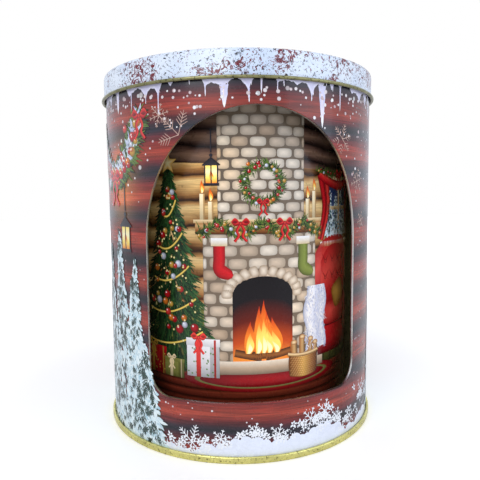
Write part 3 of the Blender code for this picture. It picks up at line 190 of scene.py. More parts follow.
class Print:
    """Flat coloured shapes on numbered layers, kept as points, heights, colours and triangles."""

    def __init__(self):
        self.points, self.layers, self.colours, self.faces, self.count = [], [], [], [], 0

    def add(self, points, layer, colours, faces):
        """Keeps a shape, with every triangle turned anticlockwise and those without an area left out."""
        a, b, c = (points[faces[:, i]] for i in range(3))
        area = (b - a)[:, 0] * (c - a)[:, 1] - (b - a)[:, 1] * (c - a)[:, 0]
        faces = np.where((area < 0)[:, None], faces[:, ::-1], faces)[np.abs(area) > LEAST_AREA]
        self.points.append(points)
        self.layers.append(np.broadcast_to(layer, len(points)).astype(float))
        self.colours.append(np.broadcast_to(colours, (len(points), 3)))
        self.faces.append(faces + self.count)
        self.count += len(points)

    def sheet(self, along, up, colours, layer):
        """A grid over (rows, columns): along, up and colours are arrays over it."""
        along, up = np.broadcast_arrays(along, up)
        rows, columns = along.shape
        corner = (np.arange(rows - 1)[:, None] * columns + np.arange(columns - 1)).ravel()
        faces = corner[:, None] + np.array([[0, 1, columns + 1, 0, columns + 1, columns]])
        points = np.stack([along.ravel(), up.ravel()], 1)
        colours = np.broadcast_to(colours, (rows, columns, 3)).reshape(-1, 3)
        self.add(points, layer, colours, faces.reshape(-1, 3))

    def between(self, along, low, high, tones, layer):
        """The area between two lines over along, in tones from the low one to the high one."""
        t = np.linspace(0, 1, len(tones))[:, None]
        self.sheet(along + 0 * t, low + t * (high - low), np.array(tones)[:, None, :], layer)

    def box(self, left, right, low, high, tones, layer):
        """An upright rectangle, in tones from its foot to its top."""
        along = np.linspace(left, right, max(2, int((right - left) / LONGEST) + 2))
        self.between(along, low, high, tones, layer)

    def ribbon(self, path, width, tones, layer):
        """A strip along a path: points path + side * offset, in tones from one edge to the other."""
        path = np.asarray(path, float)
        offset = np.linspace(-0.5, 0.5, len(tones))[:, None] * np.broadcast_to(width, len(path))
        place = path[None] + across(np.gradient(path, axis=0))[None] * offset[..., None]
        self.sheet(place[..., 0], place[..., 1], np.array(tones)[:, None, :], layer)

    def strokes(self, starts, ends, width, tip, tones, tip_tones, layer, depth=1.0):
        """Tapered strokes from starts to ends, each a little above the last, over depth layers."""
        starts, ends = np.asarray(starts, float), np.asarray(ends, float)
        count = len(starts)
        side = across(ends - starts)
        near = side * np.broadcast_to(width, count)[:, None] / 2
        far = side * np.broadcast_to(tip, count)[:, None] / 2
        points = np.stack([starts - near, ends - far, ends + far, starts + near], 1).reshape(-1, 2)
        tones, tip_tones = np.broadcast_to(tones, (count, 3)), np.broadcast_to(tip_tones, (count, 3))
        colours = np.stack([tones, tip_tones, tip_tones, tones], 1).reshape(-1, 3)
        faces = 4 * np.arange(count)[:, None] + np.array([[0, 1, 2, 0, 2, 3]])
        self.add(points, rising(layer, depth, count, 4), colours, faces.reshape(-1, 3))

    def leaves(self, starts, ends, widths, tones, layer, depth=1.0):
        """Shapes from starts to ends, as wide as widths say at even steps, in tones at the same steps."""
        starts, ends = np.asarray(starts, float), np.asarray(ends, float)
        widths = np.asarray(widths, float)
        count, steps = len(starts), widths.shape[-1]
        run = ends - starts
        t = np.linspace(0, 1, steps)[None, :, None]
        middle = starts[:, None] + run[:, None] * t
        reach = np.broadcast_to(widths, (count, steps))[..., None] / 2 * across(run)[:, None]
        points = np.stack([middle - reach, middle + reach], 2).reshape(-1, 2)
        colours = np.repeat(np.broadcast_to(tones, (count, steps, 3)), 2, 1).reshape(-1, 3)
        step = 2 * np.arange(steps - 1)[:, None]
        quad = np.concatenate([step + [[0, 2, 3]], step + [[0, 3, 1]]])
        faces = (quad[None] + 2 * steps * np.arange(count)[:, None, None]).reshape(-1, 3)
        self.add(points, rising(layer, depth, count, 2 * steps), colours, faces)

    def patches(self, centres, halves, middle, rim, layer, sides=14, square=1.0, turn=0.0, depth=1.0,
                shift=0.0):
        """Round, oval or boxy patches: half sizes times (cos, sin) to the power square.

        The colours run from middle, at a spot that is shifted up and to the left by shift radii, to rim.
        """
        centres = np.atleast_2d(np.asarray(centres, float))
        count = len(centres)
        halves = np.broadcast_to(halves, (count, 2))
        unit = ray(np.arange(sides) * 2 * math.pi / sides)
        unit = np.sign(unit) * np.abs(unit) ** square
        rings = np.array([0.45, 1.0])[None, :, None, None]
        lit = np.array([-shift, shift]) * halves
        local = rings * unit[None, None] * halves[:, None, None] + (1 - rings) * lit[:, None, None]
        flat = np.concatenate([lit[:, None], local.reshape(count, -1, 2)], 1)
        turn = np.broadcast_to(turn, count)[:, None]
        along = flat[..., 0] * np.cos(turn) - flat[..., 1] * np.sin(turn)
        up = flat[..., 0] * np.sin(turn) + flat[..., 1] * np.cos(turn)
        points = (np.stack([along, up], -1) + centres[:, None]).reshape(-1, 2)
        middle, rim = np.broadcast_to(middle, (count, 3)), np.broadcast_to(rim, (count, 3))
        between = np.repeat(blend(middle, rim, 0.35)[:, None], sides, 1)
        tones = np.concatenate([middle[:, None], between, np.repeat(rim[:, None], sides, 1)], 1)
        here, after = 1 + np.arange(sides), 1 + (np.arange(sides) + 1) % sides
        fan = np.stack([0 * here, here, after], 1)
        outer = np.stack([here, sides + here, sides + after, here, sides + after, after], 1)
        faces = np.concatenate([fan, outer.reshape(-1, 3)])
        size = 1 + 2 * sides
        faces = (faces[None] + size * np.arange(count)[:, None, None]).reshape(-1, 3)
        self.add(points, rising(layer, depth, count, size), tones.reshape(-1, 3), faces)

    def balls(self, centres, radii, tones, layer, depth=1.0):
        """Shaded balls: a pale spot up and to the left, and a dark rim."""
        radii = np.broadcast_to(radii, len(centres))
        tones = np.broadcast_to(tones, (len(centres), 3))
        halves = np.stack([radii, radii], 1)
        self.patches(centres, halves, tones, tones * 0.3, layer, depth=depth, shift=0.3)
        spots = np.asarray(centres) + radii[:, None] * np.array([-0.36, 0.38])
        self.patches(spots, halves * 0.24, WHITE, blend(tones, WHITE, 0.45), layer + depth, 8, depth=0.5)

    def outline(self, centre, angles, radii, middle, rim, layer):
        """A fan about centre to the points at radii over angles, all the way round."""
        points = np.concatenate([[[0, 0]], radii[:, None] * ray(angles)]) + np.asarray(centre, float)
        here = np.arange(len(angles))
        faces = np.stack([0 * here, 1 + here, 1 + (here + 1) % len(angles)], 1)
        colours = np.concatenate([[middle], np.broadcast_to(rim, (len(angles), 3))])
        self.add(points, layer, colours, faces)

    def divided(self):
        """Halves every edge that is longer than LONGEST along the wall, so that a shape bends with it."""
        values = np.column_stack([np.concatenate(rows) for rows in (self.points, self.layers, self.colours)])
        faces = np.concatenate(self.faces)
        done = []
        while len(faces):
            corners = values[faces, 0]
            span = np.abs(np.roll(corners, -1, axis=1) - corners)
            first = span.argmax(axis=1)
            long = span.max(axis=1) > LONGEST
            done.append(faces[~long])
            faces, first = faces[long], first[long]
            a, b, c = (np.take_along_axis(faces, ((first + k) % 3)[:, None], 1)[:, 0] for k in range(3))
            middle = len(values) + np.arange(len(faces))
            values = np.concatenate([values, (values[a] + values[b]) / 2])
            faces = np.concatenate([np.stack([a, middle, c], 1), np.stack([middle, b, c], 1)])
        return values[:, :2], values[:, 2], values[:, 3:], np.concatenate(done)

    def wrapped(self, name, radius, body, light):
        """Wraps the shapes on a cylinder: turn = along / radius, radius + INK * (1 + layer) from the axis."""
        points, layers, colours, faces = self.divided()
        low, high = PRINT_REACH[body]
        points[:, 1] = np.clip(points[:, 1], low, high)
        first, second = (points[faces[:, k]] - points[faces[:, 0]] for k in (1, 2))
        faces = faces[np.abs(first[:, 0] * second[:, 1] - first[:, 1] * second[:, 0]) > LEAST_AREA]
        # The print's colours times the painted light and shade of its body.
        colours = colours * light(points[:, 0], points[:, 1])
        turn = points[:, 0] * MM / radius
        place = round_axis(radius + INK * (1 + layers), turn, points[:, 1] * MM)
        obj = mesh_object(name, place, faces, [material("ink" if body == "case" else "shaded_ink")])
        obj.data.normals_split_custom_set_from_vertices(round_axis(1.0, turn, 0.0))
        set_colours(obj, "paint", colours)
        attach(obj, body)


def mesh_object(name, points, faces, materials, smooth_faces=True):
    """A new object at the origin from arrays of points and of faces with one count of corners."""
    mesh = bpy.data.meshes.new(name)
    faces = np.ascontiguousarray(faces, dtype=np.int32)
    corners = faces.shape[1]
    mesh.vertices.add(len(points))
    mesh.vertices.foreach_set("co", np.ascontiguousarray(points, dtype=np.float32).ravel())
    mesh.loops.add(faces.size)
    mesh.loops.foreach_set("vertex_index", faces.ravel())
    mesh.polygons.add(len(faces))
    mesh.polygons.foreach_set("loop_start", np.arange(0, faces.size, corners, dtype=np.int32))
    mesh.update(calc_edges=True)
    mesh.polygons.foreach_set("use_smooth", np.full(len(faces), smooth_faces))
    for finish in materials:
        mesh.materials.append(finish)
    obj = bpy.data.objects.new(name, mesh)
    bpy.context.scene.collection.objects.link(obj)
    return obj


def set_colours(obj, name, colours):
    """Keeps linear colours on the points of a mesh, as the attribute that its material reads."""
    attribute = obj.data.color_attributes.new(name, "FLOAT_COLOR", "POINT")
    values = np.concatenate([colours, np.ones((len(colours), 1))], 1)
    attribute.data.foreach_set("color", values.astype(np.float32).ravel())


def set_light(obj, radius, light, glow):
    """Keeps the painted light and glow of a wall of this radius on its points."""
    place = np.array([vertex.co for vertex in obj.data.vertices])
    along, up = np.arctan2(place[:, 0], -place[:, 1]) * radius / MM, place[:, 2] / MM
    set_colours(obj, "light", light(along, up))
    set_colours(obj, "glow", glow(along, up))


# Sheet metal


def rounded(points, reach):
    """Rounds corners: each is (1-t)^2 a + 2t(1-t) corner + t^2 b, from a before it to b after it."""
    points = np.array(points, float)
    before, corner, after = points[:-2], points[1:-1], points[2:]

    def towards(other):
        step = other - corner
        length = np.linalg.norm(step, axis=1, keepdims=True)
        return corner + step * np.minimum(reach, 0.45 * length) / length

    t = np.linspace(0, 1, 6)[:, None, None]
    bends = (1 - t) ** 2 * towards(before) + 2 * t * (1 - t) * corner + t**2 * towards(after)
    return np.concatenate([points[:1], bends.transpose(1, 0, 2).reshape(-1, 2), points[-1:]])


def arc(radius, height, size, start, sweep, steps):
    """Points about (radius, height) at distance size, angles in degrees."""
    return [radius, height] + size * ray(np.radians(start + sweep * np.linspace(0, 1, steps + 1)))


def sheet_loop(line, thickness):
    """Closed section of a sheet: its middle line moved by half the thickness to each side and joined."""
    side = across(np.gradient(line, axis=0)) * thickness / 2
    loop = np.concatenate([line + side, (line - side)[::-1]])
    loop[:, 0] = np.maximum(loop[:, 0], 0)
    return loop


def revolved(name, loop, materials, rows=None):
    """Turns a closed section of (radius, height) about Z. rows gives each row's material."""
    turn = np.arange(SIDES) * 2 * math.pi / SIDES
    points = round_axis(loop[:, :1], turn, loop[:, 1:])
    obj = mesh_object(name, points, grid_faces(len(loop), SIDES, True, True), materials)
    if rows is not None:
        obj.data.polygons.foreach_set("material_index", np.repeat(rows, SIDES).astype(np.int32))
    close_mesh(obj.data)
    return obj


def close_mesh(mesh):
    """Merges points that coincide, as at a pole, drops empty faces and turns all faces outwards."""
    shape = bmesh.new()
    shape.from_mesh(mesh)
    bmesh.ops.remove_doubles(shape, verts=shape.verts, dist=SAME_PLACE)
    bmesh.ops.dissolve_degenerate(shape, edges=shape.edges, dist=SAME_PLACE / 10)
    bmesh.ops.recalc_face_normals(shape, faces=shape.faces)
    shape.to_mesh(mesh)
    shape.free()


# The window, in millimetres on the flat wall


def window_line(sizes):
    """Outline of the arched window in even steps: round corners, straight sides and an elliptical arch."""
    names = ("half_width", "sill", "spring", "top", "corner")
    half, sill, spring, top, corner = (getattr(sizes, "window_" + name) / MM for name in names)
    right = [half - corner, sill + corner] + corner * ray(np.linspace(-math.pi / 2, 0, 120))
    bow = [0, spring] + [half, top - spring] * ray(np.linspace(0, math.pi, 720))
    left = right[::-1] * [-1, 1]
    corners = np.concatenate([right, bow, left, right[:1]])
    travel = np.concatenate([[0], np.cumsum(np.linalg.norm(np.diff(corners, axis=0), axis=1))])
    return read(corners, travel, np.linspace(0, travel[-1], 4000, endpoint=False))


def arch_top(sizes, along):
    """Height of the arch at along, from its spring to its top, and 0 beside the window."""
    half = sizes.window_half_width / MM
    rise = np.sqrt(np.clip(1 - (along / half) ** 2, 0, 1))
    height = sizes.window_spring + (sizes.window_top - sizes.window_spring) * rise
    return np.where(np.abs(along) < half, height / MM, 0)


def clear_of_window(sizes, points, margin):
    """True where a point of the print lies on metal, margin away from the window."""
    along, up = points[..., 0], points[..., 1]
    half = sizes.window_half_width / MM + margin
    inside = (np.abs(along) < half) & (up > sizes.window_sill / MM - margin)
    return ~(inside & (up < arch_top(sizes, along * (half - margin) / half) + margin))


# Light that is painted into the prints


def lit_spot(along, up, centre, halves, colour):
    """A soft spot of colour about centre: exp(-(x / half width)^2 - (y / half height)^2)."""
    share = np.exp(-(((along - centre[0]) / halves[0]) ** 2) - ((up - centre[1]) / halves[1]) ** 2)
    return share[:, None] * np.array(colour)


def body_light(along, up):
    """Painted light on the planks: a golden glow behind the garland on the left, and dark under the lid."""
    shade = 1 - 0.22 * smooth(160, 177, up) - 0.44 * smooth(177, 186, up)
    return shade[:, None] * (1 + lit_spot(along, up, (-80, 143), (15, 20), [0.4, 0.4, 0.2]))


def ink_light(along, up):
    """Painted light on the inks of the body: a like glow, and no dark part."""
    return 1 + lit_spot(along, up, (-80, 143), (15, 20), [0.3, 0.28, 0.1])


def body_glow(along, up):
    """Light that is added to the planks: golden behind the garland, and a little slate blue under the lid."""
    under_lid = smooth(178, 186, up)[:, None] * linear(18, 14, 30)
    return lit_spot(along, up, (-84, 140), (13, 17), linear(176, 126, 62)) + under_lid


def drum_glow(along, up):
    """Light that is added to the drum's log wall: the warmth of the fire."""
    return lit_spot(along, up, (4, 60), (42, 22), linear(120, 56, 20))


def drum_light(along, up):
    """Painted light on the drum: warm round the fire and the lantern, darker at the beams and the sides."""
    shade = (1 - 0.4 * smooth(146, 176, up)) * (0.92 + 0.08 * np.cos(along * MM / DRUM_RADIUS * 2))
    fire = lit_spot(along, up, (14, 66), (34, 30), [0.36, 0.24, 0.09])
    lamp = lit_spot(along, up, (-19, 146), (16, 16), [0.6, 0.45, 0.2])
    return shade[:, None] * (1 + fire + lamp)


# Shader groups and materials


def node_group(name, inputs, outputs):
    """A shader node group with named sockets: inputs as (name, type, default), outputs as (name, type)."""
    group = bpy.data.node_groups.new(name, "ShaderNodeTree")
    for label, kind, default in inputs:
        socket = group.interface.new_socket(label, in_out="INPUT", socket_type=kind)
        if default is not None:
            socket.default_value = default
    for label, kind in outputs:
        group.interface.new_socket(label, in_out="OUTPUT", socket_type=kind)
    return group, group.nodes.new("NodeGroupInput"), group.nodes.new("NodeGroupOutput")


class Nodes:
    """Short calls that place and link nodes in one tree. An argument is a socket or a plain value."""

    def __init__(self, tree):
        self.tree = tree

    def put(self, socket, value):
        """Links a socket, or sets its plain value. A colour from linear is made opaque."""
        if isinstance(value, bpy.types.NodeSocket):
            self.tree.links.new(value, socket)
        elif value is not None:
            socket.default_value = (*value, 1) if isinstance(value, np.ndarray) else value

    def node(self, kind, settings=None, inputs=None):
        node = self.tree.nodes.new(kind)
        for key, value in (settings or {}).items():
            setattr(node, key, value)
        for key, value in (inputs or {}).items():
            self.put(node.inputs[key], value)
        return node

    def math(self, operation, first, second=None, clamp=False):
        node = self.node("ShaderNodeMath", {"operation": operation, "use_clamp": clamp}, {0: first})
        if second is not None:
            self.put(node.inputs[1], second)
        return node.outputs[0]

    def mix(self, share, first, second, kind="MIX"):
        node = self.node("ShaderNodeMix", {"data_type": "RGBA", "blend_type": kind},
                         {0: share, 6: first, 7: second})
        return node.outputs[2]

    def dim(self, colour, value):
        """Every channel of a colour times one value."""
        grey = self.node("ShaderNodeCombineXYZ", None, {0: value, 1: value, 2: value}).outputs[0]
        return self.mix(1.0, colour, grey, "MULTIPLY")

    def paint(self, name):
        """A colour that set_colours has kept on the mesh."""
        return self.node("ShaderNodeVertexColor", {"layer_name": name}).outputs[0]

    def strip(self, value, height):
        """Share of the way up a strip of this height, of which many lie over each other."""
        return self.math("FRACT", self.math("DIVIDE", value, height))

    def noise(self, vector, scale, detail=4.0, roughness=0.55, distortion=0.0):
        values = {"Vector": vector, "Scale": scale, "Detail": detail, "Roughness": roughness,
                  "Distortion": distortion}
        return self.node("ShaderNodeTexNoise", None, values).outputs[0]

    def range(self, value, low, high, first=0.0, last=1.0):
        node = self.node("ShaderNodeMapRange", None, {0: value, 1: low, 2: high, 3: first, 4: last})
        return node.outputs[0]

    def ramp(self, value, stops):
        """Colours over value, with stops as (place, red, green, blue)."""
        node = self.node("ShaderNodeValToRGB", None, {0: value})
        elements = node.color_ramp.elements
        while len(elements) < len(stops):
            elements.new(0.5)
        for element, (place, *tone) in zip(elements, stops):
            element.position = place
            element.color = (*linear(*tone), 1)
        return node.outputs[0]

    def group(self, name, inputs):
        return self.node("ShaderNodeGroup", {"node_tree": bpy.data.node_groups[name]}, inputs).outputs

    def stretched_noise(self, point, level, upward, *settings):
        """Noise on Object coordinates times (level, level, upward), with no seam round a wall."""
        scaled = self.node("ShaderNodeVectorMath", {"operation": "MULTIPLY"},
                           {0: point, 1: (level, level, upward)})
        return self.noise(scaled.outputs[0], 1.0, *settings)


FINISH_OUTPUTS = (("Colour", "NodeSocketColor"), ("Roughness", "NodeSocketFloat"),
                  ("Height", "NodeSocketFloat"))


def make_groups():
    """The effects that several materials share."""
    group, inside, out = node_group(
        "wall_coordinates",
        [("Point", "NodeSocketVector", None), ("Radius", "NodeSocketFloat", 79.0)],
        [("Along", "NodeSocketFloat"), ("Up", "NodeSocketFloat")],
    )
    n = Nodes(group)
    parts = n.node("ShaderNodeSeparateXYZ", None, {0: inside.outputs["Point"]}).outputs
    turn = n.math("ARCTAN2", parts[0], n.math("MULTIPLY", parts[1], -1.0))
    n.put(out.inputs["Along"], n.math("MULTIPLY", turn, inside.outputs["Radius"]))
    n.put(out.inputs["Up"], n.math("DIVIDE", parts[2], MM))

    group, inside, out = node_group(
        "printed_grain",
        [("Point", "NodeSocketVector", None), ("Colour", "NodeSocketColor", None),
         ("Strength", "NodeSocketFloat", 0.1)],
        FINISH_OUTPUTS,
    )
    n = Nodes(group)
    point = inside.outputs["Point"]
    fine = n.noise(point, 1500.0, 2.0)
    broad = n.noise(point, 260.0, 5.0, 0.65)
    both = n.math("ADD", n.math("MULTIPLY", fine, 0.4), n.math("MULTIPLY", broad, 0.6))
    shade = n.math("ADD", 1.0, n.math("MULTIPLY", n.math("SUBTRACT", both, 0.5), inside.outputs["Strength"]))
    n.put(out.inputs["Colour"], n.dim(inside.outputs["Colour"], shade))
    n.put(out.inputs["Roughness"], n.range(n.noise(point, 90.0, 4.0), 0.3, 0.7, 0.2, 0.34))
    n.put(out.inputs["Height"], n.noise(point, 120.0, 3.0))

    group, inside, out = node_group(
        "worn_metal",
        [
            ("Point", "NodeSocketVector", None),
            ("Colour", "NodeSocketColor", None),
            ("Dark", "NodeSocketColor", None),
            ("Specks", "NodeSocketFloat", 0.5),
        ],
        FINISH_OUTPUTS,
    )
    n = Nodes(group)
    point = inside.outputs["Point"]
    cloud = n.range(n.noise(point, 140.0, 5.0, 0.6), 0.35, 0.7)
    speck = n.range(n.noise(point, 900.0, 3.0, 0.7), 0.56, 0.66)
    worn = n.math("ADD", n.math("MULTIPLY", cloud, 0.45), speck)
    dark = n.math("MULTIPLY", worn, inside.outputs["Specks"], True)
    n.put(out.inputs["Colour"], n.mix(dark, inside.outputs["Colour"], inside.outputs["Dark"]))
    n.put(out.inputs["Roughness"], n.range(cloud, 0.0, 1.0, 0.24, 0.42))
    n.put(out.inputs["Height"], n.noise(point, 700.0, 3.0))

    group, inside, out = node_group(
        "moulded_plastic",
        [("Point", "NodeSocketVector", None), ("Colour", "NodeSocketColor", None)],
        FINISH_OUTPUTS,
    )
    n = Nodes(group)
    point = inside.outputs["Point"]
    flow = n.range(n.noise(point, 60.0, 3.0), 0.3, 0.7, 0.93, 1.05)
    n.put(out.inputs["Colour"], n.dim(inside.outputs["Colour"], flow))
    n.put(out.inputs["Roughness"], n.range(n.noise(point, 300.0, 4.0), 0.3, 0.7, 0.38, 0.56))
    n.put(out.inputs["Height"], n.noise(point, 2200.0, 2.0))


def new_material(name, metallic=0.0, coat=0.0, ior=1.5):
    """A material's nodes, its Principled shader with plain socket values, and its Object coordinates."""
    finish = bpy.data.materials.new(name)
    finish.use_nodes = True
    tree = finish.node_tree
    shader = tree.nodes["Principled BSDF"]
    values = {"Metallic": metallic, "Coat Weight": coat, "Coat Roughness": 0.08, "IOR": ior, "Coat IOR": ior}
    for socket, value in values.items():
        shader.inputs[socket].default_value = value
    n = Nodes(tree)
    return n, shader, n.node("ShaderNodeTexCoord").outputs["Object"]


def plug_in(n, shader, outputs, bump):
    """Links a group's colour, roughness and height to the shader, the height as bumps of up to 0.1 mm."""
    n.put(shader.inputs["Base Color"], outputs["Colour"])
    n.put(shader.inputs["Roughness"], outputs["Roughness"])
    height = n.node("ShaderNodeBump", None,
                    {"Strength": bump, "Distance": 0.1 * MM, "Height": outputs["Height"]})
    n.put(shader.inputs["Normal"], height.outputs[0])


def print_on(n, shader, point, colour, grain, bump=0.05):
    """Links a printed colour to the shader through the shared grain."""
    plug_in(n, shader, n.group("printed_grain", {"Point": point, "Colour": colour, "Strength": grain}), bump)


def print_wood(n, shader, point, wood, streaks):
    """Links painted wood to the shader: wood * streaks * painted light + painted glow."""
    lit = n.mix(1.0, n.dim(wood, streaks), n.paint("light"), "MULTIPLY")
    print_on(n, shader, point, n.mix(1.0, lit, n.paint("glow"), "ADD"), 0.25)


def material(name):
    return bpy.data.materials[name]


def make_ink(name, ior):
    """Printed ink: the painted colours of the layers, with a fine grain under varnish."""
    n, shader, point = new_material(name, coat=0.35, ior=ior)
    print_on(n, shader, point, n.paint("paint"), 0.35)


PLANK_HEIGHT, PLANK_START = 21.4, 6.4  # millimetres, on the body
LOG_HEIGHT, BEAM_HEIGHT, BOARD_HEIGHT = 13.0, 9.0, 4.5  # millimetres, on the drum


def make_planks():
    """Print of wide red-brown planks: a ramp over each plank's height, times streaks along the wall."""
    n, shader, point = new_material("printed_planks", coat=0.25, ior=1.45)
    up = n.group("wall_coordinates", {"Point": point, "Radius": BODY_RADIUS / MM})["Up"]
    drift = n.stretched_noise(point, 12, 20, 3.0)
    bent = n.math("ADD", up, n.range(drift, 0.3, 0.7, -2.0, 2.0))
    share = n.strip(n.math("ADD", bent, PLANK_START), PLANK_HEIGHT)
    base = n.ramp(share, [
        (0.0, 30, 34, 46),
        (0.1, 52, 34, 44),
        (0.24, 106, 36, 38),
        (0.4, 160, 64, 48),
        (0.55, 152, 54, 42),
        (0.7, 124, 42, 40),
        (0.84, 84, 36, 44),
        (0.94, 44, 36, 48),
        (1.0, 30, 34, 46),
    ])
    wide = n.stretched_noise(point, 22, 420, 6.0, 0.62, 0.4)
    thin = n.stretched_noise(point, 35, 1900, 5.0, 0.7, 0.3)
    fine = n.stretched_noise(point, 60, 4200, 3.0, 0.6, 0.2)
    streak = n.math("MULTIPLY", n.range(wide, 0.32, 0.68, 0.5, 1.45), n.range(thin, 0.32, 0.68, 0.55, 1.4))
    streak = n.math("MULTIPLY", streak, n.range(fine, 0.35, 0.65, 0.78, 1.18))
    joint = n.math("ABSOLUTE", n.math("SUBTRACT", share, 0.012))
    streak = n.math("MULTIPLY", streak, n.range(joint, 0.004, 0.012, 0.35, 1.0))
    print_wood(n, shader, point, base, streak)


def make_frost():
    """Frosted snow on the lid: pale blue-white with patches of jagged dark red flecks and dark specks."""
    n, shader, point = new_material("printed_frost", coat=0.35)
    soft = n.range(n.noise(point, 45.0, 4.0), 0.35, 0.7)
    base = n.mix(soft, linear(230, 239, 252), linear(204, 219, 242))
    patch = n.range(n.noise(point, 62.0, 2.0, 0.5), 0.42, 0.6)
    fleck = n.noise(point, 420.0, 5.0, 0.7, 1.2)
    cut = n.math("SUBTRACT", 0.62, n.math("MULTIPLY", patch, 0.128))
    red = n.range(n.math("SUBTRACT", fleck, cut), 0.0, 0.012)
    tone = n.mix(n.noise(point, 160.0), linear(70, 6, 20), linear(134, 22, 44))
    speck = n.range(n.noise(point, 900.0, 4.0, 0.6, 0.6), 0.592, 0.607)
    print_on(n, shader, point, n.mix(speck, n.mix(red, base, tone), linear(30, 28, 38)), 0.12, 0.06)


def make_logs():
    """Log wall under dark beams: a ramp over each log's height, times grain, knots and painted light.

    The beams' slant, and the line where they begin, swing with the sine of the turn and meet at the back.
    """
    n, shader, point = new_material("printed_logs", coat=0.35, ior=1.28)
    wall = n.group("wall_coordinates", {"Point": point, "Radius": DRUM_RADIUS / MM})
    along, up = wall["Along"], wall["Up"]
    drift = n.stretched_noise(point, 30, 60, 3.0)
    bent = n.math("ADD", up, n.range(drift, 0.3, 0.7, -2.2, 2.2))
    logs = n.ramp(n.strip(bent, LOG_HEIGHT), [
        (0.0, 40, 24, 12),
        (0.07, 74, 44, 20),
        (0.25, 148, 104, 60),
        (0.5, 206, 166, 108),
        (0.72, 228, 194, 134),
        (0.88, 170, 124, 74),
        (1.0, 52, 32, 16),
    ])
    swing = n.math("SINE", n.math("DIVIDE", along, DRUM_RADIUS / MM))
    slant = n.math("ADD", up, n.math("MULTIPLY", swing, 9.0))
    slant = n.math("ADD", slant, n.range(drift, 0.3, 0.7, -1.5, 1.5))
    beams = n.ramp(n.strip(slant, BEAM_HEIGHT), [
        (0.0, 18, 12, 14),
        (0.15, 60, 44, 40),
        (0.55, 128, 100, 84),
        (0.8, 92, 68, 60),
        (1.0, 22, 14, 16),
    ])
    boards = n.ramp(n.strip(up, BOARD_HEIGHT), [
        (0.0, 28, 10, 10),
        (0.2, 84, 34, 28),
        (0.7, 112, 48, 36),
        (1.0, 40, 16, 16),
    ])
    above = n.math("GREATER_THAN", n.math("ADD", up, n.math("MULTIPLY", swing, 3.3)), 147.0)
    below = n.math("LESS_THAN", up, 40.0)
    wood = n.mix(below, n.mix(above, logs, beams), boards)
    grain = n.stretched_noise(point, 60, 1500, 6.0, 0.68, 0.8)
    knots = n.stretched_noise(point, 90, 160, 2.0, 0.5, 1.5)
    streak = n.math("MULTIPLY", n.range(grain, 0.3, 0.7, 0.6, 1.3), n.range(knots, 0.62, 0.75, 1.0, 0.5))
    print_wood(n, shader, point, wood, streak)


def make_metal(name, colour, dark, specks, rougher=0.0, metallic=1.0, coat=0.0, bump=0.1):
    """A metal with darker clouds and specks, and rougher than the shared group says by a plain amount."""
    n, shader, point = new_material(name, metallic, coat)
    outputs = n.group("worn_metal",
                      {"Point": point, "Colour": np.array(colour), "Dark": dark, "Specks": specks})
    plug_in(n, shader, outputs, bump)
    if rougher:
        n.put(shader.inputs["Roughness"], n.math("ADD", outputs["Roughness"], rougher))


def make_plastic(name, colour):
    """Moulded plastic, with the faint flow marks and the fine grain of the shared group."""
    n, shader, point = new_material(name)
    plug_in(n, shader, n.group("moulded_plastic", {"Point": point, "Colour": np.array(colour)}), 0.08)


# Motifs of the prints. Each draws on a Print, at a place in millimetres


def needles(p, points, heading, spread, length, width, tones, layer, rng, depth=1.0):
    """Fir needles: strokes at heading plus or minus spread, coloured at random between two tones."""
    count = len(points)
    angle = heading + rng.uniform(-1, 1, count) * spread
    size = length * rng.uniform(0.6, 1.15, count)
    ends = points + ray(angle) * size[:, None]
    tone = blend(tones[0], tones[1], rng.uniform(0, 1, count) ** 1.4)
    p.strokes(points, ends, width, width * 0.25, tone * 0.8, tone * 1.15, layer, depth)


def garland(p, path, thick, layer, rng, density=9.0, balls=0.55, snow=0.0):
    """Fir garland along a path: needles to both sides, then balls, berries and some snow."""
    path = np.asarray(path, float)
    run = np.gradient(path, axis=0)
    length = np.linalg.norm(np.diff(path, axis=0), axis=1).sum()
    count = int(length * density)
    place = rng.uniform(0, len(path) - 1, count)
    index = np.arange(len(path))
    points = read(path, index, place) + rng.normal(0, thick * 0.16, (count, 2))
    step = read(run, index, place)
    heading = np.arctan2(step[:, 1], step[:, 0]) + rng.choice([-1, 1], count) * rng.uniform(0.5, 1.5, count)
    needles(p, points, heading, 0.3, thick * 0.55, thick * 0.11, (DARK_GREEN, LEAF), layer, rng, 3.0)
    if snow:
        chosen = points[: int(count * snow)] + [0, thick * 0.12]
        upright = np.full(len(chosen), math.pi / 2)
        needles(p, chosen, upright, 1.1, thick * 0.3, thick * 0.1, (SNOW_SHADE, SNOW), layer + 3, rng)
    many = int(length * balls)
    place = np.linspace(0.3, len(path) - 1.3, many) + rng.uniform(-0.3, 0.3, many)
    centres = read(path, index, place) + rng.normal(0, thick * 0.2, (many, 2))
    tones = np.array([RED, BRIGHT_RED, GOLD, ORANGE, SNOW, RED])[rng.integers(0, 6, many)]
    p.balls(centres, thick * rng.uniform(0.12, 0.22, many), tones, layer + 4)


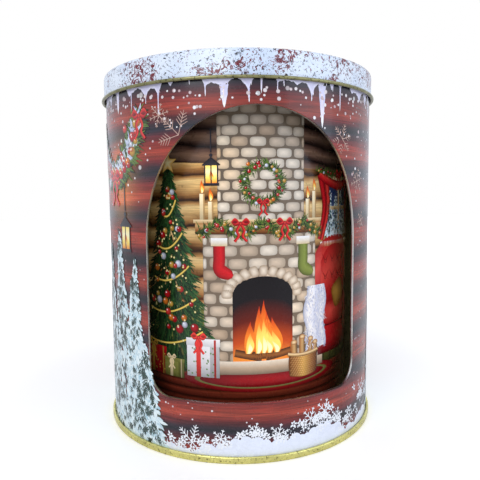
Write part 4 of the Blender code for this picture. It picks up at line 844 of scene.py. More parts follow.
def bow(p, centre, size, layer, tones=(DARK_RED, RED, BRIGHT_RED)):
    """A tied ribbon bow: two loops, two curled tails and a knot."""
    x, y = centre
    dark, mid, light = tones
    for side in (-1, 1):
        tail = np.array([(0, 0), (0.35, -0.7), (0.2, -1.2), (0.6, -1.75)]) * [side, 1]
        p.ribbon(curve([x, y] + size * tail, 16), 0.26 * size, [dark, mid, light, mid], layer)
    for side in (-1, 1):
        t = np.linspace(0, 1, 16)
        reach = x + side * size * t
        rise = 0.5 * size * np.sin(math.pi * np.minimum(t * 1.1, 1)) * (0.6 + 0.6 * t)
        middle = y + 0.16 * size * t
        p.between(reach, middle - 0.75 * rise, middle + rise, [dark, mid, light, mid, light], layer + 1)
        low, high = y + 0.12 * size - 0.25 * rise, y + 0.16 * size + 0.3 * rise
        p.between(x + side * size * (0.25 + 0.6 * t), low, high, [dark, mid * 0.6], layer + 2)
    p.patches([centre], (0.17 * size, 0.2 * size), light, dark, layer + 3)


def present(p, left, low, wide, high, paper, ribbon, layer, dots=None):
    """A wrapped box: paper lit from the left, a ribbon each way and a bow on top."""
    right, top, lip = left + wide, low + high, low + high * 1.02
    dark = paper * 0.45
    p.box(left, right, low, top, [dark, paper * 0.85, paper, paper * 1.04], layer)
    p.box(left + 0.72 * wide, right, low, top, [dark * 0.8, paper * 0.55, paper * 0.66], layer + 1)
    p.box(left - 0.02 * wide, left + 1.02 * wide, low + 0.82 * high, lip, [paper * 0.75, paper * 1.05],
          layer + 2)
    if dots is not None:
        rng = np.random.default_rng(int(abs(left * 7 + low * 3)))
        level, rise = rng.uniform(0.05, 0.95, 26), rng.uniform(0.05, 0.78, 26)
        spots = np.stack([left + wide * level, low + high * rise], 1)
        p.patches(spots, (0.45, 0.45), dots, dots * 0.7, layer + 3, 7)
    p.box(left + 0.3 * wide, left + 0.44 * wide, low, lip, [ribbon * 0.5, ribbon, ribbon * 1.1], layer + 4)
    p.box(left + 0.84 * wide, left + 0.9 * wide, low, top, [ribbon * 0.4, ribbon * 0.6], layer + 4)
    bow(p, (left + 0.38 * wide, low + high * 1.04), 0.27 * wide, layer + 5,
        (ribbon * 0.4, ribbon, ribbon * 1.3))


def flame(p, x, low, high, wide, layer, lean=0.0):
    """A flame: half width sin(pi t) * (1 - t) ^ 0.4 over its height, in three nested tones."""
    t = np.linspace(0, 1, 14)
    nested = (1.0, ORANGE, linear(190, 40, 16)), (0.66, YELLOW, ORANGE), (0.36, GLOW, YELLOW)
    for step, (size, tone, tip) in enumerate(nested):
        half = wide * size * np.sin(math.pi * (0.12 + 0.88 * t)) * (1 - t) ** 0.4 / 2
        middle = x + lean * t**1.5 * (high - low) + 0.08 * wide * np.sin(5 * t)
        side = np.array([-1, 0, 1])[:, None]
        tones = ramp([tone, tone, tip], t)[None]
        p.sheet(middle + side * half, low + t * (high - low) * size + 0 * side, np.repeat(tones, 3, 0),
                layer + step)


def candle(p, x, low, high, wide, layer):
    """A wax candle with a dark side and a flame."""
    p.box(x - wide / 2, x + wide / 2, low, high, [CREAM * 0.6, CREAM, linear(255, 240, 206)], layer)
    p.box(x + wide * 0.2, x + wide / 2, low, high, [TAN * 0.6, TAN], layer + 1)
    flame(p, x, high + 0.4, high + 2.6 * wide, wide * 1.05, layer + 2)


def stones(p, left, right, low, high, size, tones, layer, rng):
    """A wall of rounded stones in courses, over a dark joint colour."""
    p.box(left, right, low, high, [tones[0] * 0.32, tones[0] * 0.4], layer)
    rows = max(1, round((high - low) / size))
    columns = max(1, round((right - left) / (size * 1.7)))
    row, column = np.meshgrid(np.arange(rows), np.arange(columns + 1), indexing="ij")
    step = (right - left) / columns
    x = left + (column + 0.5 * (row % 2)) * step - 0.25 * step
    y = low + (row + 0.5) * (high - low) / rows
    half = np.stack([np.full(x.size, step * 0.45), np.full(x.size, (high - low) / rows * 0.43)], 1)
    centres = np.stack([x.ravel(), y.ravel()], 1) + rng.normal(0, size * 0.04, (x.size, 2))
    edge_left = np.maximum(centres[:, 0] - half[:, 0], left)
    edge_right = np.minimum(centres[:, 0] + half[:, 0], right)
    kept = edge_right - edge_left > size * 0.25
    centres[:, 0] = (edge_left + edge_right) / 2
    half[:, 0] = (edge_right - edge_left) / 2
    tone = blend(tones[0], tones[1], rng.uniform(0, 1, x.size))
    p.patches(centres[kept], half[kept], tone[kept] * 1.08, tone[kept] * 0.62, layer + 1, 16, 0.55, shift=0.2)


def stocking(p, x, top, size, layer, tone=RED):
    """A hanging stocking: a bent strip with a fluffy cuff."""
    leg = np.array([(0, 0), (0, -0.5), (0.02, -0.85), (0.4, -1.05)])
    line = curve([x, top] + size * leg, 18)
    width = size * np.interp(np.linspace(0, 1, 18), [0, 0.5, 0.75, 0.93, 1], [0.36, 0.36, 0.42, 0.32, 0.1])
    p.ribbon(line, width, [tone * 0.4, tone, tone * 1.25, tone * 0.6], layer)
    p.box(x - 0.25 * size, x + 0.25 * size, top - 0.14 * size, top + 0.1 * size, [CREAM * 0.8, WHITE],
          layer + 2)


def wreath(p, centre, radius, thick, layer, rng, snow=0.0):
    """A round garland with a bow at its foot."""
    turn = np.linspace(0, 2 * math.pi, 48)
    ring = np.asarray(centre) + radius * ray(turn)
    garland(p, ring, thick, layer, rng, 13.0, 0.5, snow)
    bow(p, (centre[0], centre[1] - radius), thick * 0.75, layer + 7)


def indoor_tree(p, x, low, high, half, layer, rng):
    """A decorated fir: needles on tiers, lit from the right, with garlands, balls, lights and a star."""
    p.box(x - 4.5, x + 4.5, low - 9, low + 3, [DARK_WOOD, WOOD, DARK_WOOD], layer)
    count = 2400
    t = np.sort(rng.uniform(0, 1, count) ** 1.25)
    tier = 0.72 + 0.28 * (1 - (t * 7) % 1)
    width = half * (1 - t) ** 0.92 * tier + 0.8
    side = rng.uniform(-1, 1, count)
    points = np.stack([x + side * width, low + t * (high - low)], 1)
    heading = -math.pi / 2 + side * 1.0
    lit = 0.75 + 0.45 * side
    angle = heading + rng.uniform(-0.35, 0.35, count)
    size = 6.5 * (1.1 - 0.6 * t) * rng.uniform(0.6, 1.1, count)
    ends = points + ray(angle) * size[:, None]
    tone = blend(DARK_GREEN, GREEN * 1.2, rng.uniform(0, 1, count) ** 1.3) * lit[:, None]
    p.strokes(points, ends, 1.25, 0.3, tone * 0.7, tone * 1.3, layer + 1, 5.0)
    for step in range(5):
        share = 0.1 + 0.17 * step
        reach = half * (1 - share) * 0.86
        s = np.linspace(-1, 1, 20)
        line = np.stack([x + s * reach, low + share * (high - low) + 3.5 * s + 4.5 * s**2 - 2], 1)
        p.ribbon(line, 1.0, [GOLD * 0.5, YELLOW, GOLD], layer + 6)
    many = 46
    t = rng.uniform(0.02, 0.9, many)
    centres = np.stack([x + rng.uniform(-0.88, 0.88, many) * half * (1 - t), low + t * (high - low)], 1)
    tones = np.array([RED, BRIGHT_RED, GOLD, SNOW, ORANGE])[rng.integers(0, 5, many)]
    p.balls(centres, rng.uniform(1.3, 2.4, many) * (1.1 - 0.4 * t), tones, layer + 7)
    t = rng.uniform(0.02, 0.88, 60)
    lights = np.stack([x + rng.uniform(-0.85, 0.85, 60) * half * (1 - t) ** 0.92, low + t * (high - low)], 1)
    p.patches(lights, (0.6, 0.6), GLOW, YELLOW * 0.7, layer + 9, 8)
    turn = math.pi / 2 + np.arange(10) * math.pi / 5
    star = np.where(np.arange(10) % 2 == 0, 6.0, 2.6)
    p.outline((x, high + 3), turn, star, GLOW, GOLD, layer + 9)


def fireplace(p, x, layer, rng):
    """A cream stone fireplace with a fire, a mantel, a garland, candles, stockings and a wreath."""
    pale, warm = linear(230, 218, 202), linear(190, 166, 142)
    stones(p, x - 23, x + 23, 118, 177.5, 5.6, (warm, pale), layer, rng)
    stones(p, x - 31, x + 31, 46, 113, 6.0, (warm, pale), layer, rng)
    opening = np.linspace(x - 16, x + 16, 24)
    arch = 82 + 9 * np.sqrt(np.clip(1 - ((opening - x) / 16) ** 2, 0, 1))
    fire = [linear(250, 150, 60), linear(190, 74, 26), linear(96, 30, 18), BLACK * 1.6, BLACK]
    p.between(opening, 46, arch, fire, layer + 3)
    turn = np.radians(np.linspace(0, 180, 13))
    wedge = np.stack([x + 18.8 * np.cos(turn), 82 + 11.8 * np.sin(turn)], 1)
    heading = np.arctan2(wedge[:, 1] - 82, wedge[:, 0] - x)
    p.patches(wedge, (2.9, 2.3), pale, warm * 0.7, layer + 4, 12, 0.6, heading)
    for place, lean in ((x - 8, 0.12), (x + 8, -0.1), (x + 1, 0.0)):
        log = [(place + step, 50 - 12 / 7 * step * lean) for step in (-7, 0, 7)]
        p.ribbon(log, 4.0, [DARK_WOOD, WOOD, DARK_WOOD * 0.6], layer + 4)
    for step, tall, lean in ((-8, 17, 0.1), (7, 19, -0.12), (-3, 25, 0.05), (3, 22, -0.05), (0, 28, 0.02)):
        flame(p, x + step, 51, 51 + tall, 7.5, layer + 5, lean)
    p.box(x - 37, x + 37, 40, 47, [warm * 0.4, warm, pale], layer + 5)
    p.box(x - 35, x + 35, 112.5, 119, [DARK_WOOD, WOOD, TAN, WOOD * 1.3], layer + 5)
    p.box(x - 36, x + 36, 118.2, 120, [TAN, CREAM], layer + 6)
    for place in (x - 22.5, x + 22.5):
        stocking(p, place, 109, 17, layer + 8, RED if place < x else linear(120, 132, 62))
    for place, tall in ((x - 31, 13), (x - 26.5, 9), (x + 30, 14), (x + 25.5, 10)):
        candle(p, place, 120, 120 + tall, 2.7, layer + 7)
    s = np.linspace(-1, 1, 60)
    line = np.stack([x + 34 * s, 117 - 6.5 * np.abs(np.sin(s * 3 * math.pi / 2)) ** 1.2 + 2], 1)
    garland(p, line, 5.6, layer + 9, rng, 10.0, 0.45)
    for place in (x - 11.5, x + 11.5):
        bow(p, (place, 118), 5.2, layer + 15)
    wreath(p, (x, 138), 9.5, 5.0, layer + 4, rng)


def room_window(p, x, low, wide, high, layer, rng):
    """A cream-framed window on a snowy evening, with red curtains and a ribbon swag."""
    left, right, top = x - wide / 2, x + wide / 2, low + high
    p.box(left, right, low, top, [TAN * 0.8, CREAM, CREAM * 1.05], layer)
    p.box(left + 3.4, right - 3.4, low + 3.4, top - 3.4, [SNOW, DUSK, NIGHT, NIGHT * 0.6], layer + 1)
    for place in np.linspace(left + 6, right - 6, 4):
        fir(p, place, low + 5, high * rng.uniform(0.45, 0.75), 4.5, layer + 2, rng, 90)
    flakes = np.stack([rng.uniform(left + 4, right - 4, 60), rng.uniform(low + 4, top - 4, 60)], 1)
    p.patches(flakes, (0.35, 0.35), WHITE, SNOW, layer + 5, 6)
    line = np.linspace(left + 3.4, right - 3.4, 20)
    p.between(line, low + 3.4, low + 6.2 + np.sin(line) * 0.8, [SNOW, WHITE], layer + 6)
    p.box(x - 1.1, x + 1.1, low + 3, top - 3, [TAN, CREAM], layer + 7)
    p.box(left + 3, right - 3, low + 0.52 * high - 1, low + 0.52 * high + 1, [TAN, CREAM], layer + 7)
    p.box(left - 2, right + 2, low - 2, low + 0.8, [TAN * 0.6, CREAM, WHITE], layer + 8)
    for side in (-1, 1):
        edge = x + side * wide / 2
        line = curve([(edge, top + 1), (edge - side * 3, low + 0.55 * high), (edge + side * 2, low + 2)], 14)
        p.ribbon(line, np.linspace(9, 5, 14), [DARK_RED, RED, DARK_RED, BRIGHT_RED, DARK_RED], layer + 9)
    s = np.linspace(-1, 1, 24)
    swag = np.stack([x + s * (wide / 2 + 3), top + 1 - 6 * (1 - s**2)], 1)
    p.ribbon(swag, 5.0, [DARK_RED, RED, BRIGHT_RED, DARK_RED], layer + 10)
    swag = np.stack([x + s * (wide / 2 + 4), top + 3 - 2 * (1 - s**2)], 1)
    garland(p, swag, 4.6, layer + 11, rng, 9.0, 0.4)
    bow(p, (x, top + 1), 5.0, layer + 17)


def armchair(p, x, low, layer, rng):
    """A red wing armchair with a buttoned back, a woolly throw and a cushion."""
    red, dark, light = linear(168, 30, 34), linear(70, 10, 18), linear(214, 74, 66)
    s = np.linspace(-1, 1, 28)
    back = low + 68 - 9 * np.abs(s) ** 3
    p.between(x + 19 * s, low + 18, back, [dark, red * 0.8, red, light, red], layer)
    p.between(x + 14.5 * s, low + 24, back - 5, [dark, red, light * 0.9, red], layer + 1)
    row, column = np.meshgrid(np.arange(3), np.arange(4), indexing="ij")
    buttons = np.stack([(x - 10.5 + 7 * column).ravel(), (low + 36 + 9 * row).ravel()], 1)
    p.patches(buttons, (1.0, 1.0), light, dark, layer + 3, 10)
    folds = np.repeat(buttons, 2, 0)
    heading = np.tile([0.9, 2.2], len(buttons))
    p.strokes(folds, folds + ray(heading) * 5.5, 0.7, 0.2, dark, red, layer + 2)
    p.patches([(x, low + 25)], (16.5, 6.5), light, red * 0.7, layer + 4, 26, 0.6, shift=0.2)
    p.patches([(x - 18, low + 22), (x + 18, low + 22)], (5.6, 15), light, dark, layer + 5, 24, 0.6,
              shift=0.25)
    p.box(x - 17, x + 17, low + 3, low + 18, [dark, red, red * 1.1], layer + 5)
    for side in (-1, 1):
        leg = [(x + side * 18, low + 8), (x + side * 19, low + 3), (x + side * 20, low - 3)]
        p.ribbon(leg, 2.6, [DARK_WOOD, WOOD, DARK_WOOD], layer + 6)
    p.patches([(x + 4, low + 35)], (7.5, 7.2), linear(226, 178, 84), linear(130, 84, 30), layer + 7, 20, 0.55,
              0.4, shift=0.2)
    edge = np.linspace(0, 1, 16)
    throw_left, throw_right = x - 26 + 1.5 * np.sin(8 * edge), x - 11 + 1.2 * np.sin(9 * edge + 1)
    side = np.linspace(0, 1, 7)[:, None]
    tones = ramp([SNOW_SHADE * 0.7, WHITE, SNOW, SNOW_SHADE, WHITE, SNOW_SHADE], side[:, 0])[:, None]
    up = low + 8 + 34 * edge
    p.sheet(throw_left + side * (throw_right - throw_left), up + 0 * side, np.repeat(tones, 16, 1), layer + 8)
    points = np.stack([rng.uniform(x - 26, x - 11, 420), rng.uniform(low + 8, low + 42, 420)], 1)
    needles(p, points, rng.uniform(3.6, 5.8, 420), 0.3, 2.3, 0.5, (SNOW_SHADE, WHITE), layer + 9, rng, 2.0)


def basket(p, x, low, wide, high, layer):
    """A round wicker basket with split logs: short woven strokes, and a plaited rim."""
    for place, top in ((-0.3, 1.5), (-0.05, 1.7), (0.22, 1.55), (0.38, 1.35)):
        end = x + place * wide * 1.1, low + top * high
        p.ribbon([(x + place * wide, low + 0.6 * high), end], wide * 0.2, [DARK_WOOD, TAN, WOOD], layer)
        p.patches([end], (wide * 0.1, wide * 0.07), CREAM, WOOD, layer + 1)
    s = np.linspace(-1, 1, 22)
    bulge = wide / 2 * (0.88 + 0.12 * np.sin(np.linspace(0.3, 2.6, 7)))[:, None]
    up = low + np.linspace(0, high, 7)[:, None] - 1.2 * (1 - s**2)
    shade = ramp([WOOD * 0.4, WOOD, GOLD * 0.9, WOOD, DARK_WOOD], (s + 1) / 2)[None]
    p.sheet(x + bulge * s, up, np.repeat(shade, 7, 0), layer + 2)
    row, column = np.meshgrid(np.arange(int(high / 1.1)), np.arange(int(wide / 1.5)), indexing="ij")
    share = (column.ravel() + 0.5 * (row.ravel() % 2)) / (wide / 1.5) * 2 - 0.96
    starts = np.stack([x + 0.47 * wide * share, low + 0.7 + row.ravel() * 1.1 - 1.2 * (1 - share**2)], 1)
    tone = blend(WOOD * 0.7, linear(226, 176, 108), np.clip(1 - np.abs(share + 0.2), 0, 1))
    p.strokes(starts, starts + [1.15, 0.25], 0.75, 0.6, tone * 0.8, tone * 1.15, layer + 3)
    rim = np.stack([x + wide * 0.52 * s, low + high - 1.2 * (1 - s**2)], 1)
    p.ribbon(rim, 2.0, [DARK_WOOD, TAN, CREAM, WOOD], layer + 4)


def lantern(p, x, low, size, layer, hook=0.0):
    """An iron lantern with four yellow panes, a pointed roof and a ring, on a chain of length hook."""
    if hook:
        p.ribbon([(x, low + 1.7 * size), (x, low + 1.7 * size + hook)], 0.08 * size, [IRON, IRON * 2], layer)
    p.box(x - 0.34 * size, x + 0.34 * size, low, low + size, [ORANGE, YELLOW, GLOW, YELLOW], layer + 1)
    flame(p, x, low + 0.18 * size, low + 0.8 * size, 0.26 * size, layer + 2)
    for place in (-0.36, 0.0, 0.36):
        p.box(x + (place - 0.035) * size, x + (place + 0.035) * size, low, low + size, [IRON, IRON * 1.6],
              layer + 5)
    p.box(x - 0.45 * size, x + 0.45 * size, low - 0.12 * size, low + 0.03 * size, [IRON * 0.6, IRON * 2],
          layer + 6)
    roof = np.linspace(-1, 1, 9)
    ridge = low + size + 0.42 * size * (1 - np.abs(roof)) + 0.05 * size
    p.between(x + 0.52 * size * roof, low + size, ridge, [IRON * 2, IRON * 0.7], layer + 6)
    p.patches([(x, low + 1.56 * size)], (0.1 * size, 0.1 * size), IRON * 2, IRON, layer + 7)


def sideboard(p, left, low, wide, high, layer):
    """An olive-green painted sideboard with panels, turned columns and a pale top."""
    p.box(left, left + wide, low, low + high, [DARK_OLIVE * 0.5, OLIVE * 0.8, OLIVE], layer)
    step = wide / 3
    for place in left + step * (np.arange(3) + 0.5):
        for rise, half, foot, top, tones in (
            (1, 0.38, 0.1, 0.84, [DARK_OLIVE, OLIVE * 0.7, DARK_OLIVE * 1.3]),
            (2, 0.33, 0.15, 0.79, [OLIVE * 0.7, OLIVE * 1.15, OLIVE]),
        ):
            p.box(place - half * step, place + half * step, low + foot * high, low + top * high, tones,
                  layer + rise)
        p.balls([(place + 0.24 * step, low + 0.5 * high)], 1.1, GOLD, layer + 3)
    for place in left + step * np.arange(4):
        p.box(place - 1.3, place + 1.3, low, low + high, [OLIVE * 0.6, PALE_OLIVE, OLIVE], layer + 3)
    p.box(left - 3, left + wide + 3, low + high - 1, low + high + 4,
          [DARK_OLIVE, PALE_OLIVE, linear(226, 226, 164)], layer + 4)


def panelling(p, left, right, low, high, layer):
    """Olive-green boarded panelling with a rail: boards as upright boxes, each lit on one edge."""
    p.box(left, right, low, high, [DARK_OLIVE * 0.5, DARK_OLIVE, OLIVE * 0.8], layer)
    for place in np.arange(left, right, 6.4):
        p.box(place + 0.3, place + 5.9, low + 1, high - 3, [DARK_OLIVE * 0.8, OLIVE * 0.72, OLIVE * 0.95],
              layer + 1)
        p.box(place + 4.9, place + 5.9, low + 1, high - 3, [DARK_OLIVE * 0.6, PALE_OLIVE * 0.6], layer + 2)
    p.box(left, right, high - 2.6, high, [DARK_OLIVE, PALE_OLIVE, OLIVE], layer + 2)


def rocking_horse(p, x, low, size, layer):
    """A wooden toy horse on rockers, drawn with tapering strips and ovals; places are shares of its size."""
    t = np.linspace(-1, 1, 24)

    def place(points):
        return [x, low] + size * np.array(points)

    def strip(points, widths, tones, step):
        width = size * np.interp(np.linspace(0, 1, 12), np.linspace(0, 1, len(widths)), widths)
        p.ribbon(curve(place(points), 12), width, tones, layer + step)

    p.ribbon(np.stack([x + size * t, low + 0.3 * size * t**2], 1), 0.11 * size, [DARK_RED, RED, GOLD],
             layer + 5)
    for above, below in ((-0.4, -0.66), (-0.24, -0.3), (0.26, 0.3), (0.42, 0.7)):
        strip([(above, 0.85), (below, 0.14)], [0.2, 0.1], [WOOD, CREAM, TAN], 1)
    strip([(-0.46, 0.98), (-0.74, 0.86), (-0.84, 0.4)], [0.12, 0.2, 0.04], [DARK_WOOD, WOOD], 2)
    p.patches(place([(0, 0.88)]), (0.52 * size, 0.25 * size), CREAM, TAN, layer + 3, 24, shift=0.2)
    strip([(0.3, 0.86), (0.52, 1.1), (0.6, 1.42)], [0.42, 0.3, 0.2], [TAN, CREAM, CREAM], 4)
    strip([(0.56, 1.4), (0.74, 1.34), (0.96, 1.16)], [0.24, 0.22, 0.13], [TAN, CREAM, CREAM], 5)
    strip([(0.6, 1.5), (0.4, 1.34), (0.24, 1.02)], [0.1, 0.2, 0.08], [DARK_WOOD, WOOD], 6)
    strip([(0.58, 1.46), (0.56, 1.64)], [0.1, 0.02], [TAN, CREAM], 7)
    strip([(-0.16, 1.12), (0.0, 1.06), (0.16, 1.14)], [0.1, 0.16, 0.1], [DARK_RED, RED, BRIGHT_RED], 7)
    strip([(0.0, 1.08), (0.02, 0.72)], [0.2, 0.14], [DARK_RED, RED], 6)
    p.patches(place([(0.72, 1.38)]), (0.03 * size, 0.03 * size), BLACK, BLACK, layer + 8, 8)


def fir(p, x, low, high, half, layer, rng, count):
    """An outdoor fir: snowy twigs on a cone of tiers, and clumps of dark needles that hang below them."""
    p.ribbon([(x, low), (x, low + high)], [0.12 * half + 0.4, 0.3], [DARK_WOOD, DARK_WOOD * 0.6], layer)
    tiers = 8

    def places(many):
        t = np.sort(rng.uniform(0, 1, many) ** 1.25)[::-1]
        saw = 0.68 + 0.32 * (1 - (t * tiers + 0.35 * rng.uniform(-1, 1, many)) % 1)
        side = rng.uniform(-1, 1, many)
        reach = half * (1.02 - t) ** 0.85 * saw * side
        droop = 0.12 * half * side**2
        return t, side, np.stack([x + reach, low + t * high - droop], 1)

    t, side, points = places(count)
    angle = -math.pi / 2 + side * 1.1 + rng.uniform(-0.45, 0.45, count)
    size = (1.4 + 0.3 * half * (1.1 - t)) * rng.uniform(0.5, 1.2, count)
    ends = points + ray(angle) * size[:, None]
    tone = blend(DARK_GREEN * 0.9, linear(52, 88, 72), rng.uniform(0, 1, count) ** 1.3)
    p.strokes(points - [0, 0.8], ends - [0, 1.6], 0.42 * half**0.5, 0.15, tone, tone * 1.3, layer + 1, 2.0)
    tone = blend(linear(150, 196, 216), linear(240, 253, 255), rng.uniform(0, 1, count) ** 0.45)
    snow = rng.uniform(0, 1, count) < 0.9
    wide = np.array([0.25, 0.7, 0.6, 0.1]) * half**0.5 * 0.68
    tones = np.stack([tone, tone, tone * 0.96, tone * 0.86], 1)
    p.leaves(points[snow], ends[snow], wide, tones[snow], layer + 4, 2.0)
    clumps, heading = places(int(4.1 * half))[2], rng.uniform(-0.5, 0.5, int(4.1 * half))
    centres = np.repeat(clumps, 12, 0) + rng.normal(0, 0.05 * half + 0.2, (12 * len(clumps), 2))
    heading = -math.pi / 2 + np.repeat(heading, 12)
    green = linear(15, 37, 35), linear(48, 86, 74)
    needles(p, centres, heading, 0.7, 0.9 + 0.13 * half, 0.045 * half, green, layer + 7, rng)


def flake(p, centre, radius, tone, layer, width=0.5, keep=None):
    """A six-armed snowflake: arms, and pairs of side branches at 60 degrees along each."""
    branches = max(2, round(radius / 3))
    centre = np.asarray(centre, float)
    arm = np.arange(6) * math.pi / 3 + 0.26
    starts = [np.repeat(centre[None], 6, 0)]
    ends = [centre + radius * ray(arm)]
    for share in np.linspace(0.38, 0.8, branches):
        root = centre + radius * share * ray(arm)
        for side in (-1, 1):
            heading = arm + side * math.pi / 3.6
            starts.append(root)
            ends.append(root + radius * 0.36 * (1.3 - share) * ray(heading))
    starts, ends = np.concatenate(starts), np.concatenate(ends)
    if keep is not None:
        kept = keep(starts) & keep(ends)
        starts, ends = starts[kept], ends[kept]
    if len(starts):
        p.strokes(starts, ends, width, width * 0.7, tone, tone, layer, 0.5)


# Pieces


class TinSizes(bpy.types.PropertyGroup):
    """Sizes of the printed wall and its rolled edges."""

    def length(label, words, default):
        rest = {"default": default, "unit": "LENGTH", "precision": 5, "min": 0}
        return bpy.props.FloatProperty(name=label, description=words, **rest)

    sheet: length("Sheet", "Thickness of the tinplate", 0.0003)
    curl: length("Rolled edge", "Radius of a rolled edge, to the middle of the sheet", 0.00075)
    window_sill: length("Window sill", "Height of the window's lower edge", 0.030)
    window_half_width: length("Window half width", "Half the window's width along the wall", 0.061)
    window_spring: length("Window spring", "Height at which the arch begins", 0.108)
    window_top: length("Window top", "Height of the arch's crown", 0.1745)
    window_corner: length("Window corner", "Radius of the window's lower corners", 0.013)
    window_hem: length("Window hem", "Depth of the window's edge that is bent inwards", 0.0015)
    lid_skirt: length("Lid skirt", "Top of the lid to the middle of its rolled edge", 0.0135)


class TinColours(bpy.types.PropertyGroup):
    """Colours of the plain finishes."""

    def colour(label, words, default):
        rest = {"default": tuple(default), "subtype": "COLOR", "min": 0, "max": 1}
        return bpy.props.FloatVectorProperty(name=label, description=words, **rest)

    gold: colour("Gold lacquer", "Clear gold lacquer over tin, on the base and the rolled edges",
                 linear(232, 224, 138))
    tin: colour("Bright tin", "Unprinted tinplate inside", linear(206, 206, 202))
    steel: colour("Steel", "Shafts and screws", linear(176, 178, 184))
    brass: colour("Brass", "Bush, nut, spring barrel, pinned cylinder and pinion", linear(214, 176, 98))
    ivory: colour("Ivory plastic", "Gears and the turntable", linear(236, 230, 210))
    black: colour("Black plastic", "The movement's cover", linear(44, 44, 48))


class TIN_OT_finishes(bpy.types.Operator):
    """Makes the shared node groups and every material"""

    bl_idname = "tin.finishes"
    bl_label = "Finishes"

    def execute(self, context):
        colours = context.scene.tin_colours
        make_groups()
        make_ink("ink", 1.5)
        make_ink("shaded_ink", 1.28)
        make_planks()
        make_frost()
        make_logs()
        olive = linear(84, 76, 36)
        make_metal("gold_lacquered", colours.gold, olive, 0.75, 0.0, 1.0, 0.3)
        make_metal("inner_lacquer", linear(214, 208, 156), linear(112, 108, 74), 0.7, 0.12, 0.15, 0.2)
        # A darker copy of the gold lacquer, with dark specks, for the lid's rolled edge: painted shade for
        # the curl, and specks of wear.
        make_metal("speckled_shaded_gold", linear(150, 146, 102), linear(44, 42, 28), 1.0, 0.04, 1.0, 0.3)
        make_metal("bare_tin", colours.tin, linear(120, 120, 118), 0.4)
        make_metal("bright_steel", colours.steel, linear(96, 96, 102), 0.35)
        make_metal("nickel_plated", linear(206, 202, 194), linear(120, 116, 108), 0.4, -0.06)
        make_metal("turned_brass", colours.brass, linear(130, 96, 40), 0.4)
        make_metal("cast_zinc", linear(176, 178, 184), linear(110, 112, 118), 0.55, 0.18, 1.0, 0.0, 0.35)
        make_metal("grey_steel", linear(150, 152, 160), linear(90, 92, 98), 0.4, 0.05)
        make_plastic("ivory_moulding", colours.ivory)
        make_plastic("black_moulding", colours.black)
        return {"FINISHED"}


def body_wall(sizes):
    """The rolled wall between foot and rolled top, as one grid of points on the cylinder.

    Round the window, rows run from its outline to a rectangle: outline * (1 - t) + rectangle * t. Other rows
    bend the window's edge inwards. The rest of the wall is a plain grid with the rectangle's heights.
    Gives the points on the flat wall, their distances from the axis, the faces and the count of hem faces.
    """
    low, high = FOOT_SEAM / MM - 2.0, TIN_HEIGHT / MM - 2.4
    half, wide, tall = 76.0, 120, 60
    level, upright = np.linspace(-half, half, wide + 1), np.linspace(low, high, tall + 1)
    rectangle = np.concatenate([
        np.stack([level[:-1], np.full(wide, low)], 1),
        np.stack([np.full(tall, half), upright[:-1]], 1),
        np.stack([level[:0:-1], np.full(wide, high)], 1),
        np.stack([np.full(tall, -half), upright[:0:-1]], 1),
    ])
    centre = np.array([0.0, 95.0])
    line, step = window_line(sizes) - centre, rectangle - centre
    turn, heading = (np.arctan2(way[:, 1], way[:, 0]) for way in (line, step))
    order = np.argsort(turn)
    near = np.interp(heading, turn[order], np.linalg.norm(line, axis=1)[order], period=2 * math.pi)
    outline = centre + near[:, None] * ray(heading)
    rows = np.concatenate([[0.0, 0.004, 0.012], np.linspace(0.03, 1, 16)])[:, None, None]
    window = (outline * (1 - rows) + rectangle * rows).reshape(-1, 2)
    bends = np.append(sizes.window_hem * np.array([1.0, 0.6, 0.2]), 0.08 * MM)
    back = np.linspace(half, BODY_AROUND - half, 231)
    grid = np.stack(np.meshgrid(back, upright), -1).reshape(-1, 2)
    count, rings = len(rectangle), len(bends) + rows.size
    faces = grid_faces(rings, count, closed_columns=True)[:, [0, 3, 2, 1]]
    faces = np.concatenate([faces, rings * count + grid_faces(len(upright), len(back))])
    flat = np.concatenate([np.tile(outline, (len(bends), 1)), window, grid])
    reach = np.full(len(flat), BODY_RADIUS - sizes.sheet / 2)
    reach[: len(bends) * count] -= np.repeat(bends, count)
    return flat, reach, faces, (len(bends) - 1) * count


